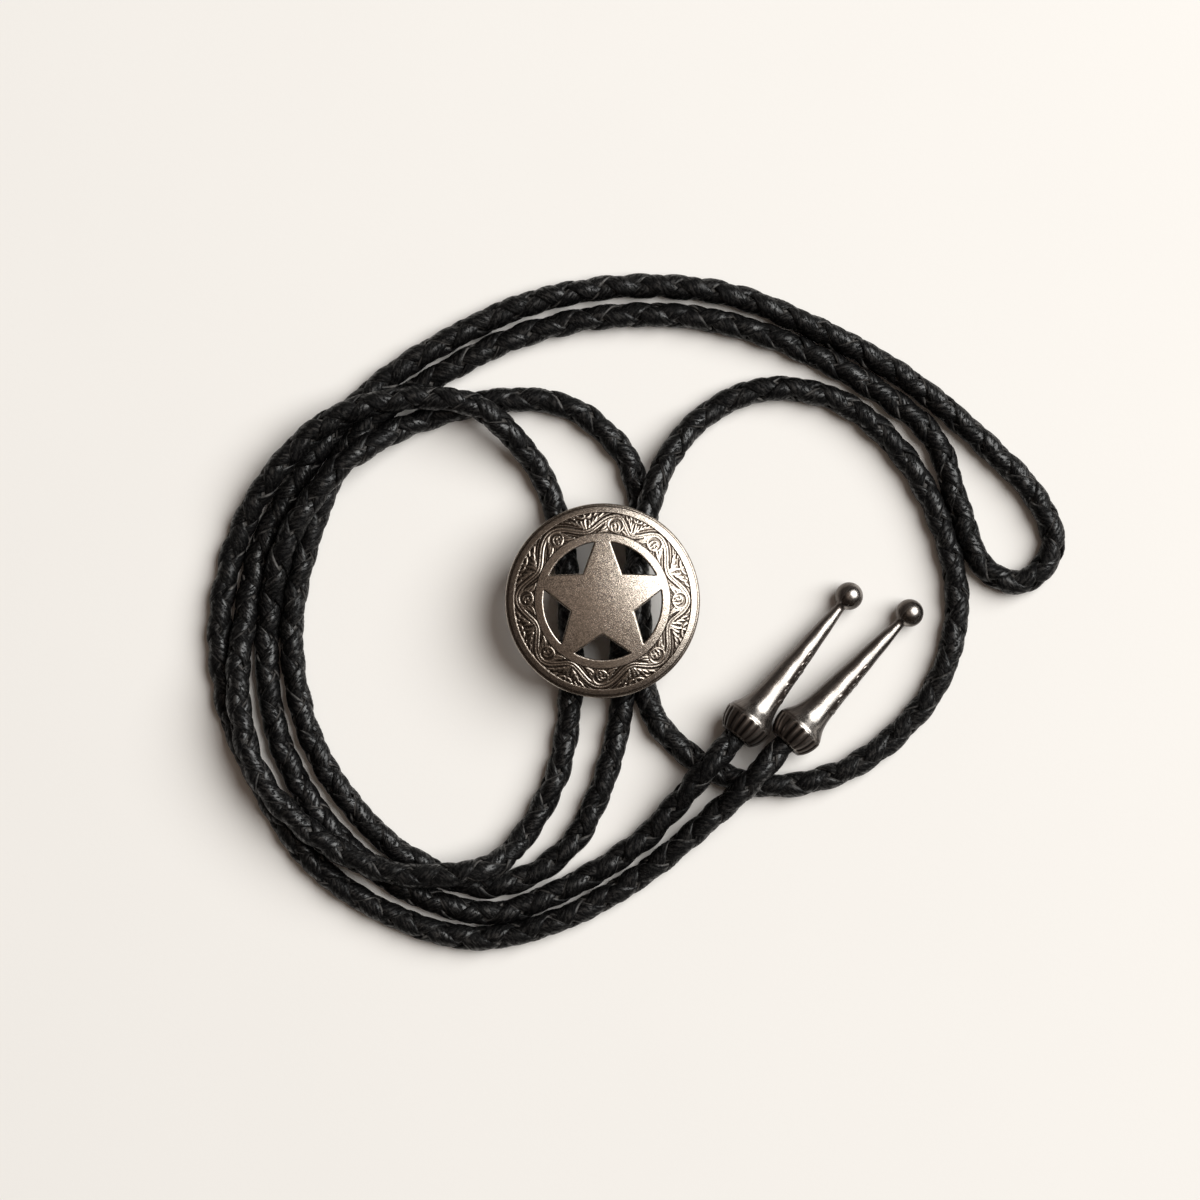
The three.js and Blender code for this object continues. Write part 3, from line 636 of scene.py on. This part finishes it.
def star_radius(angle, sizes, reach):
    """Radius of the star's outline: where the direction meets the side from the inner corner, or the ring."""
    ring, notch = sizes.opening / 2, sizes.notch / 2
    phi = np.minimum(from_notch(angle, sizes), reach)
    ex, ey = ring * math.cos(reach), ring * math.sin(reach)
    share = notch * np.sin(phi) / (ey * np.cos(phi) - (ex - notch) * np.sin(phi))
    radius = np.hypot(notch + share * (ex - notch), share * ey)
    return np.where(from_notch(angle, sizes) >= reach - 1e-9, ring, radius)


def edge_distance(radius, angle, sizes, reach):
    """Distance from the nearest opening: to its straight side or to its arc."""
    ring, notch = sizes.opening / 2, sizes.notch / 2
    phi = from_notch(angle, sizes)
    x, y = radius * np.cos(phi), radius * np.sin(phi)
    ex, ey = ring * math.cos(reach) - notch, ring * math.sin(reach)
    share = np.clip(((x - notch) * ex + y * ey) / (ex * ex + ey * ey), 0, 1)
    side = np.hypot(x - notch - share * ex, y - share * ey)
    arc = np.where((phi <= reach) & (radius >= ring), radius - ring, 1.0)
    return np.minimum(side, arc)


STAR_COLUMNS = 192  # points of the outline from one inner corner of the star to the next
STAR_ROWS = (0, 0.09, 0.2, 0.32, 0.44, 0.56, 0.67, 0.76, 0.83, 0.88, 0.92, 0.945, 0.962, 0.976, 0.987, 0.995, 1)
RING_ROWS = (0, 0.03, 0.09, 0.18, 0.3, 0.45, 0.75)  # millimetres outwards from the opening
BEFORE_BAND_ROWS = (0.30, 0.10, 0.03)  # millimetres inwards from the band
BAND_ROWS = 46
RIM_ROWS = (0.05, 0.12, 0.22, 0.5, 0.9, 1.1, 1.18, 1.26, 1.34, 1.42, 1.52, 1.6, 1.66, 1.72)  # past the band
SIDE_ROWS = (0.45, 1.0)  # down the outer edge
BACK_RING_ROWS = (0.72, 0.42, 0.18, 0.0)  # inwards under the ring
BACK_STAR_ROWS = (1.0, 0.7, 0.35, 0.0)  # inwards under the star
RIM_GROOVE = 1.26  # millimetres past the band
GROOVE_DEPTH = 0.05 * MM
BAND_WALL = 0.09 * MM  # width of the step down into the band
DARK_LINE = 0.07 * MM  # half width of the dark line along that step
RELIEF = 0.62  # the scroll's height as a share of the band's depth


def concho_surface(sizes):
    """The concho's closed surface as rings of points about its middle: the star from the middle to
    its edge, the ring with the scroll band and the rim, the outer edge, and the underside. The face is
    the dome, underside + wall + rise * (1 - (r / R)^2), less a rounding near an opening, and in the
    band its ground plus the cast scroll."""
    outer = sizes.diameter / 2
    band_out, band_in = sizes.band_outer / 2, sizes.band_inner / 2
    middle = (band_out + band_in) / 2
    ring = sizes.opening / 2
    angle, open_here, reach = star_edge(sizes, STAR_COLUMNS)
    n = len(angle)

    def under(r):
        return sizes.underside + sizes.rise * (1 - (r / outer) ** 2)

    def rounding(d, width, drop):
        k = np.clip(1 - d / width, 0, 1)
        return drop * (1 - np.sqrt(1 - k * k))

    def face(r, a):
        return under(r) + sizes.wall - rounding(edge_distance(r, a, sizes, reach), 0.36 * MM, 0.34 * MM)

    edge = star_radius(angle, sizes, reach)
    star_r = np.array(STAR_ROWS)[:, None] * edge
    star_z = face(star_r, angle)
    ring_rows = np.concatenate([ring + np.array(RING_ROWS) * MM, band_in - np.array(BEFORE_BAND_ROWS) * MM,
                                np.linspace(band_in, band_out, BAND_ROWS), band_out + np.array(RIM_ROWS) * MM,
                                [outer]])
    ring_r, ring_a = np.meshgrid(ring_rows, angle, indexing="ij")
    share = np.clip(np.minimum(ring_r - band_in, band_out - ring_r) / BAND_WALL, 0, 1)
    sunk = share * share * (3 - 2 * share)
    relief = band_relief(ring_r, ring_a, middle)
    blur = relief.copy()
    for _ in range(2):
        blur = (blur + np.roll(blur, 1, 1) + np.roll(blur, -1, 1)
                + np.roll(blur, 1, 0) + np.roll(blur, -1, 0)) / 5
    past = (ring_r - band_out) / MM
    groove = GROOVE_DEPTH * (np.exp(-((past - RIM_GROOVE) / 0.10) ** 2) + np.exp(-((past + 0.02) / 0.07) ** 2))
    ring_z = face(ring_r, ring_a) - groove - rounding(outer - ring_r, 0.5 * MM, 0.42 * MM)
    ring_z = ring_z - sizes.band_depth * sunk * (1 - RELIEF * (0.35 * relief + 0.65 * blur))
    dark = np.clip(1.1 * (1 - relief) ** 1.2 + 0.9 * (blur - relief), 0, 1.2) * sunk
    dark = np.maximum(dark, 0.9 * np.exp(-((past - RIM_GROOVE) / 0.13) ** 2))
    from_step = np.minimum(np.abs(ring_r - band_in), np.abs(ring_r - band_out))
    dark = np.maximum(dark, 0.7 * np.exp(-(from_step / DARK_LINE) ** 2))
    side_z = under(outer) + (ring_z[-1].min() - under(outer)) * (1 - np.array(SIDE_ROWS)[:, None]) + 0 * angle
    side_r = np.full_like(side_z, outer)
    back_r = ring + (outer - ring) * np.array(BACK_RING_ROWS)[:, None] + 0 * angle
    back_star = np.array(BACK_STAR_ROWS)[:, None] * edge
    walls = ((star_r, star_z, np.zeros_like(star_r)),
             (np.vstack([ring_r, side_r, back_r]), np.vstack([ring_z, side_z, under(back_r)]),
              np.vstack([dark, np.full_like(side_r, 0.25), np.full_like(back_r, 0.6)])),
             (back_star, under(back_star), np.full_like(back_star, 0.6)))
    points, quads, patina_and_shade, starts = [], [], [], [0]
    for r, z, d in walls:
        points.append(np.stack([r * np.cos(angle), r * np.sin(angle), z], axis=-1).reshape(-1, 3))
        quads.append(wall_quads(len(r), n, True, starts[-1]))
        patina_and_shade.append(d.ravel())
        starts.append(starts[-1] + r.size)
    column = np.arange(n)[open_here]
    nxt = (column + 1) % n
    for top, bottom in ((starts[1] - n, starts[2]), (starts[1], starts[2] - n)):
        quads.append(np.stack([top + column, top + nxt, bottom + nxt, bottom + column], axis=-1))
    return np.vstack(points), np.vstack(quads), np.concatenate(patina_and_shade)


# The post and the rivet head under the concho: radius and height in millimetres.
POST = ((0, 0.12), (2.9, 0.12), (3.2, 0.42), (3.2, 0.62), (2.1, 0.62), (2.1, 1.8), (3.0, 1.8), (3.0, 12.4),
        (0, 12.4))


def turned(profile, segments):
    """Closed surface of a profile, rows of radius and height, turned about the upright axis."""
    rows = np.asarray(profile, float)
    a = np.arange(segments) * 2 * math.pi / segments
    r, z = rows[:, :1], np.repeat(rows[:, 1:], segments, 1)
    points = np.stack([r * np.cos(a), r * np.sin(a), z], axis=-1).reshape(-1, 3)
    return points, wall_quads(len(rows), segments, True)


def shade(colour, share):
    return tuple(min(1.0, share * c) for c in colour)


def silver_finish(sizes):
    """Cast silver: mottled and finely grained where rubbed, brown-black in the recesses."""
    f = Finish("antique_silver")
    patina_and_shade = f.attribute("patina_and_shade")
    here = f.place()
    cloud = f.noise(here, 0.16, 3.0)
    mottle = f.noise(here, 1.1, 4.0, 0.65)
    grain = f.noise(here, 4.4, 3.0, 0.7)
    tone = mottle.ramp(0.34, 0.66) * 0.3 + grain.ramp(0.38, 0.62) * 0.7
    face = f.blend(tone, shade(sizes.silver, 0.38), shade(sizes.silver, 1.25))
    film = f.blend(cloud.ramp(0.35, 0.65) * 0.3, face, (0.30, 0.25, 0.20))
    recess_and_shade = (patina_and_shade + (mottle - 0.5) * 0.4).ramp(0.22, 0.85)
    colour = f.blend(recess_and_shade, film, sizes.patina)
    rough = 0.18 + grain * 0.12 + recess_and_shade * 0.06
    bump = f.bump(grain * 0.7 + mottle * 0.4, 0.05 * MM, 0.8)
    return f.finish(Base_Color=colour, Roughness=rough, Metallic=1.0, Normal=bump)


class BOLO_OT_concho(bpy.types.Operator):
    """Casts the domed concho with its pierced star, scroll band, rim and post"""

    bl_idname = "bolo.concho"
    bl_label = "Concho"

    def execute(self, context):
        sizes = context.scene.bolo_concho
        points, quads, patina_and_shade = concho_surface(sizes)
        more, faces = turned([(r * MM, z * MM) for r, z in POST], 48)
        quads = np.vstack([quads, faces + len(points)])
        points = np.vstack([points, more])
        patina_and_shade = np.concatenate([patina_and_shade, np.full(len(more), 0.5)])
        piece = new_piece("concho_cast", points, quads, values={"patina_and_shade": patina_and_shade}, material=silver_finish(sizes),
                          join=True)
        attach(piece, "root")
        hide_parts("concho")
        return {"FINISHED"}


# ---- slide clip
class BOLO_OT_clip(bpy.types.Operator):
    """Gives the slide clip behind the concho its brushed steel"""

    bl_idname = "bolo.clip"
    bl_label = "Slide clip"

    def execute(self, context):
        f = Finish("brushed_steel")
        lines = f.noise(f.place("Object", (0.25, 9, 9)), 1.0, 3.0)
        cloud = f.noise(f.place(), 0.35, 3.0)
        colour = f.blend(lines * 0.5 + cloud * 0.5, (0.20, 0.20, 0.20), (0.42, 0.41, 0.40))
        material = f.finish(Base_Color=colour, Roughness=0.38 + lines * 0.2, Metallic=1.0,
                            Normal=f.bump(lines, 0.02 * MM, 0.6))
        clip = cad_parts["slide_clip"]
        clip.data.materials.clear()
        clip.data.materials.append(material)
        return {"FINISHED"}


# ---- tips
# Outline of a tip from its mouth: length along it and half width, in millimetres.
TIP_OUTLINE = (
    (0.0, 3.4), (0.35, 3.75), (1.0, 4.22), (2.0, 4.72), (3.0, 5.0), (3.9, 5.1), (4.15, 5.1), (4.5, 5.03),
    (5.1, 4.72), (5.9, 4.24), (6.9, 3.70), (8.0, 3.34), (9.9, 2.98), (11.9, 2.76), (15.8, 2.45), (19.6, 2.15),
    (23.5, 1.84), (27.4, 1.52), (29.6, 1.32), (31.4, 1.13), (32.6, 1.03))
TIP_BORE = ((7.6, 0.0), (7.6, 2.2), (7.4, 2.57), (4.0, 2.57), (0.25, 2.57), (0.0, 2.8))  # the socket
TIP_CONE = 5.2  # the cone's rows end here
TIP_NECK = 32.4  # and the shaft's here
NECK_RADIUS = 1.02  # where the ball begins
TIP_MARKS = (10.9, 12.7, 14.4, 16.1, 17.8, 19.5, 21.2)
MARK_LEANS = (0.7, -0.5, 0.35, -0.8, 0.5, -0.3, 0.6)
MARK_RISE = 0.10
TIP_POWER = 2.2  # 2 would make the shaft round
TIP_TURN = math.radians(36)  # how far the marks are turned up from the side
TIP_FLAT = math.radians(13)  # how far the shaft's flat leans from straight up
SHOULDER_AT = 4.6 * MM  # where a tip rests, from its mouth


def smooth_outline(outline, z):
    """Half width at each z: a cubic through the outline's rows without overshoot. Its slope at a row is
    the harmonic mean of the slopes on both sides, or 0 where they differ in sign."""
    outline = np.array(outline)
    h = np.diff(outline[:, 0])
    slope = np.diff(outline[:, 1]) / h
    product = slope[1:] * slope[:-1]
    inner = np.where(product > 0, 2 * product / (slope[1:] + slope[:-1] + 1e-12), 0)
    m = np.concatenate([[slope[0]], inner, [slope[-1]]])
    k = np.clip(np.searchsorted(outline[:, 0], z) - 1, 0, len(h) - 1)
    u = (z - outline[k, 0]) / h[k]
    return ((1 + 2 * u) * (1 - u) ** 2 * outline[k, 1] + u * (1 - u) ** 2 * h[k] * m[k]
            + u * u * (3 - 2 * u) * outline[k + 1, 1] + u * u * (u - 1) * h[k] * m[k + 1])


def mark_height(z, around):
    """Height of the small marks, 0 to 1: at each place a short stroke, 1.25 - p^2 - q^2 along and across
    it, and a ring beside it. around is the distance round the shaft from the line of marks."""
    height = np.zeros_like(z)
    for number, (place, lean) in enumerate(zip(TIP_MARKS, MARK_LEANS)):
        x = z - place
        p = (x * math.cos(lean) + around * math.sin(lean)) / 0.86
        q = (-x * math.sin(lean) + around * math.cos(lean)) / 0.36
        height = np.maximum(height, np.clip(1.25 - p * p - q * q, 0, 1))
        hook = np.hypot(x - 0.42 * math.sin(2.2 * number), around - 0.62 * math.cos(1.7 * number))
        height = np.maximum(height, np.clip(1.1 - np.abs(hook - 0.50) / 0.16, 0, 1))
    return height


def tip_surface(sizes):
    """A tip along +Z from its mouth: the outline as a smooth curve turned about the axis, then the ball
    as a circle, and the bored socket. Flutes cut the cone: radius - depth * fade * (1 - |cos(ribs a / 2)|),
    a row of small marks is raised along its +X side, and the shaft is a little square,
    |across| ^ power + |up| ^ power = radius ^ power, with a flat upwards. Gives each point's darkening too:
    painted shade on the flanks that turn away from the light above, and patina in the flutes, the strip
    round the marks, the grooves and the neck."""
    ball = sizes.ball / MM / 2
    turn = np.linspace(math.pi - math.asin(NECK_RADIUS / ball), 0, 30)
    bore = np.array(TIP_BORE)
    shaft = np.concatenate([np.linspace(0, TIP_CONE, 34), np.linspace(TIP_CONE, TIP_NECK, 130)[1:]])
    z = np.concatenate([bore[:, 0], shaft, sizes.length / MM - ball + ball * np.cos(turn)])
    r = np.concatenate([bore[:, 1], smooth_outline(TIP_OUTLINE, shaft), ball * np.sin(turn)])
    outside = (np.arange(len(z)) >= len(bore))[:, None]
    segments = sizes.ribs * 12
    zz, aa = np.meshgrid(z, np.arange(segments) * 2 * math.pi / segments, indexing="ij")
    rr = np.repeat(r[:, None], segments, 1)
    out = outside & (rr > 2.0)
    cone = np.clip(zz / 0.5, 0, 1) * np.clip((4.35 - zz) / 0.55, 0, 1)
    flute = (1 - np.abs(np.cos(aa * sizes.ribs / 2)) ** 0.8) * cone * (0.75 + 0.25 * np.sin(5 * aa + 1.0))
    flute = np.where(out, flute, 0)
    rings = 0.10 * np.exp(-((zz - 4.62) / 0.16) ** 2) + 0.05 * np.exp(-((zz - 0.42) / 0.12) ** 2)
    rr = rr - sizes.rib_depth / MM * flute - np.where(out, rings, 0)
    flat = aa + (math.pi / 2 - TIP_TURN) - TIP_FLAT
    upward = np.cos(flat)
    squared = (np.abs(upward) ** TIP_POWER + np.abs(np.sin(flat)) ** TIP_POWER) ** (-1 / TIP_POWER)
    fade = np.clip((zz - 6) / 5, 0, 1) * np.clip((TIP_NECK - zz) / 4, 0, 1)
    rr = rr * np.where(outside, 1 + (squared - 1) * fade, 1)
    side = (aa + math.pi) % (2 * math.pi) - math.pi
    marks = mark_height(zz, side * np.maximum(rr, 0.1))
    marks = np.where(outside & (zz > 8) & (zz < 24), marks, 0)
    # A slight ripple in the shaft's surface.
    wear_and_highlight = 0.03 * np.sin(zz * 0.9 + 2 * np.sin(aa)) * np.sin(2 * aa + zz * 0.3)
    rr = rr + MARK_RISE * marks + np.where(outside & (zz > 6) & (zz < 31), wear_and_highlight, 0)
    # Painted shade: the flanks of the shaft and ball that turn away from the light above are darkened, and the
    # top stays clean for the highlight.
    painted_flank_shade = np.clip((0.95 - upward) / 0.22, 0, 1) * 0.72
    ribbed = cone * (0.50 + 1.5 * flute ** 0.7)
    strip = np.clip((1.35 - np.abs(side * rr)) / 0.3, 0, 1)
    strip = strip * np.clip((zz - 9.5) / 0.6, 0, 1) * np.clip((22.6 - zz) / 0.6, 0, 1)
    patina_and_shade = np.maximum(np.maximum(painted_flank_shade, ribbed), 1.15 * strip) * (1 - np.clip(1.6 * marks, 0, 1))
    patina_and_shade = np.where(outside, np.clip(patina_and_shade + 4.5 * rings * out, 0, 1.8), 0.9)
    neck = np.exp(-((zz - 32.8) / 0.45) ** 2) * (rr < 2.3)
    patina_and_shade = np.maximum(patina_and_shade, 0.85 * neck * outside)
    points = np.stack([rr * np.cos(aa), rr * np.sin(aa), zz], axis=-1).reshape(-1, 3) * MM
    uv = np.stack([zz, 2.5 * np.abs(aa - math.pi)], axis=-1).reshape(-1, 2)
    return points, wall_quads(len(z), segments, True), patina_and_shade.ravel(), uv


def lay_tip(points, sizes, mouth_at, ball_towards):
    """Turns and moves a tip so that it lies on its shoulder and its ball with its mouth at the cord's end:
    it leans by asin of the difference of the two radii over the distance between them."""
    shoulder, ball = sizes.shoulder / 2, sizes.ball / 2
    lean = math.asin((shoulder - ball) / (sizes.length - ball - SHOULDER_AT))
    height = shoulder / math.cos(lean) + SHOULDER_AT * math.sin(lean) + CORD_LIFT
    mouth = np.array(placed(*mouth_at, height))
    towards = np.array(placed(*ball_towards, height))
    heading = math.atan2(towards[1] - mouth[1], towards[0] - mouth[0])
    axis = np.array([math.cos(heading) * math.cos(lean), math.sin(heading) * math.cos(lean), -math.sin(lean)])
    side = np.array([math.sin(heading), -math.cos(heading), 0])
    up = np.cross(side, axis)
    x = side * math.cos(TIP_TURN) + up * math.sin(TIP_TURN)
    return points @ np.array([x, np.cross(axis, x), axis]) + mouth


def tip_finish(sizes):
    """Polished dark silver: fine scratches, black in the flutes, and a brown film on the flanks that is painted
    shade.
    """
    f = Finish("gunmetal")
    patina_and_shade = f.attribute("patina_and_shade")
    here = f.place()
    cloud = f.noise(here, 0.45, 3.0)
    mottle = f.noise(here, 1.6, 4.0, 0.65)
    grain = f.noise(here, 5.0, 3.0, 0.65)
    drawn = f.noise(f.place("UV", (0.22, 4.0, 1)), 1.0, 3.0, 0.6)
    tone = (mottle.ramp(0.34, 0.66) * 0.3 + cloud.ramp(0.35, 0.65) * 0.2 + grain.ramp(0.35, 0.65) * 0.2
            + drawn.ramp(0.38, 0.62) * 0.3)
    face = f.blend(tone, shade(sizes.metal, 0.40), shade(sizes.metal, 1.25))
    # Goes towards the patina colour where there is patina and where the flanks carry painted shade.
    recess_and_shade = (patina_and_shade + (mottle - 0.5) * 0.35 + (drawn - 0.5) * 1.3).ramp(0.18, 0.95)
    colour = f.blend(recess_and_shade, face, sizes.patina)
    colour = f.blend(patina_and_shade.ramp(0.9, 1.4), colour, shade(sizes.patina, 0.2))
    bump = f.bump(mottle * 0.3 + grain * 0.3 + drawn * 0.4, 0.03 * MM, 0.6)
    return f.finish(Base_Color=colour, Roughness=0.20 + mottle * 0.12 + recess_and_shade * 0.10,
                    Metallic=1.0 - recess_and_shade * 0.25, Normal=bump)


# Each tip's node, its mouth, which is a point of the cord's route, and the point its ball faces.
TIPS = (("tip_right", ROUTE["tail_right"][1][:2], (912.7, 611)),
        ("tip_left", ROUTE["tail_left"][4][:2], (849.4, 596.8)))


class BOLO_OT_tips(bpy.types.Operator):
    """Turns both fluted tips with their balls, marks and sockets"""

    bl_idname = "bolo.tips"
    bl_label = "Tips"

    def execute(self, context):
        sizes = context.scene.bolo_tip
        material = tip_finish(sizes)
        local, quads, patina_and_shade, uv = tip_surface(sizes)
        for node, mouth, ball in TIPS:
            points = lay_tip(local, sizes, mouth, ball)
            piece = new_piece(node + "_turned", points, quads, values={"patina_and_shade": patina_and_shade}, uv=uv, material=material,
                              join=True)
            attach(piece, "root")
            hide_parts(node)
        return {"FINISHED"}


# ---- stage
SKY_AT = (0.12, 0.10, 0.988)  # where the room is brightest
KEY_AZIMUTH, KEY_ZENITH = 23, 43.5  # the key light's direction, in degrees
KEY_DISTANCE, KEY_SIZE = 3.2, 3.26
FLOOR_HALF = 1.6
SENSOR = 36  # millimetres


def key_light(power):
    """A round light that faces the middle of the surface."""
    lamp = bpy.data.lights.new("key_light", "AREA")
    lamp.shape = "DISK"
    lamp.size = KEY_SIZE
    lamp.energy = power
    lamp.color = (0.99, 1.0, 0.99)
    obj = bpy.data.objects.new("key_light", lamp)
    a, z = math.radians(KEY_AZIMUTH), math.radians(KEY_ZENITH)
    obj.location = Vector((math.sin(z) * math.cos(a), math.sin(z) * math.sin(a), math.cos(z))) * KEY_DISTANCE
    obj.rotation_euler = (-obj.location).to_track_quat("-Z", "Y").to_euler()
    bpy.context.scene.collection.objects.link(obj)


class BOLO_OT_camera(bpy.types.Operator):
    """Sets the camera straight above the surface"""

    bl_idname = "bolo.camera"
    bl_label = "Camera"

    def execute(self, context):
        sizes = context.scene.bolo_stage
        data = bpy.data.cameras.new("camera")
        data.sensor_width = SENSOR
        data.lens = SENSOR * sizes.height / sizes.field
        data.clip_start = 0.01
        data.clip_end = 10
        data.dof.use_dof = False
        camera = bpy.data.objects.new("camera", data)
        camera.location = placed(*LOOK_AT, sizes.height)
        context.scene.collection.objects.link(camera)
        context.scene.camera = camera
        return {"FINISHED"}


class BOLO_OT_stage(bpy.types.Operator):
    """Lays the pale surface and sets the soft light and the dim room"""

    bl_idname = "bolo.stage"
    bl_label = "Stage"

    def execute(self, context):
        sizes = context.scene.bolo_stage
        f = Finish("paper")
        here = f.place()
        cloud = f.noise(here, 0.02, 3.0)
        fibre = f.noise(here, 1.2, 3.0)
        colour = f.blend(cloud.ramp(0.3, 0.7) * 0.25 + fibre * 0.08, sizes.paper, shade(sizes.paper, 0.975))
        material = f.finish(Base_Color=colour, Roughness=0.9, Specular_IOR_Level=0.2,
                            Normal=f.bump(fibre, 0.03 * MM, 0.3))
        corners = FLOOR_HALF * np.array([(-1, -1, 0), (1, -1, 0), (1, 1, 0), (-1, 1, 0)], float)
        floor = new_piece("paper_floor", corners, [(0, 1, 2, 3)], material=material)
        key_light(sizes.key)
        world = bpy.data.worlds.new("room")
        world.use_nodes = True
        sky = Graph(world.node_tree)
        direction = sky.add("ShaderNodeTexCoord", None, None, "Generated")
        towards = sky.add("ShaderNodeVectorMath", {"operation": "DOT_PRODUCT"}, {0: direction, 1: SKY_AT},
                          "Value")
        strength = towards.ramp(0.70, 0.995, sizes.fill, sizes.overhead)
        colour = sky.blend(towards.ramp(0.3, 0.9), (1.0, 0.72, 0.54), (1.0, 0.81, 0.68))
        light = sky.add("ShaderNodeBackground", None, {"Color": colour, "Strength": strength})
        sky.add("ShaderNodeOutputWorld", None, {"Surface": light})
        context.scene.world = world
        context.scene.view_settings.view_transform = "Standard"
        return {"FINISHED"}


class BOLO_PT_panel(bpy.types.Panel):
    bl_idname = "BOLO_PT_panel"
    bl_label = "Bolo Tie"
    bl_space_type = "VIEW_3D"
    bl_region_type = "UI"
    bl_category = "Bolo Tie"

    def draw(self, context):
        for operator in OPERATORS:
            self.layout.operator(operator.bl_idname)


OPERATORS = (BOLO_OT_camera, BOLO_OT_cord, BOLO_OT_concho, BOLO_OT_clip, BOLO_OT_tips, BOLO_OT_stage)
GROUPS = {"bolo_cord": BoloCordSizes, "bolo_concho": BoloConchoSizes, "bolo_tip": BoloTipSizes,
          "bolo_stage": BoloStageSizes}


def register():
    for cls in (*GROUPS.values(), *OPERATORS, BOLO_PT_panel):
        bpy.utils.register_class(cls)
    for name, cls in GROUPS.items():
        setattr(bpy.types.Scene, name, PointerProperty(type=cls))


def unregister():
    for name in GROUPS:
        delattr(bpy.types.Scene, name)
    for cls in (BOLO_PT_panel, *reversed(OPERATORS), *reversed(GROUPS.values())):
        bpy.utils.unregister_class(cls)


def main():
    register()
    bpy.ops.bolo.camera()
    bpy.ops.bolo.cord()
    bpy.ops.bolo.concho()
    bpy.ops.bolo.clip()
    bpy.ops.bolo.tips()
    bpy.ops.bolo.stage()


if __name__ == "__main__":
    main()
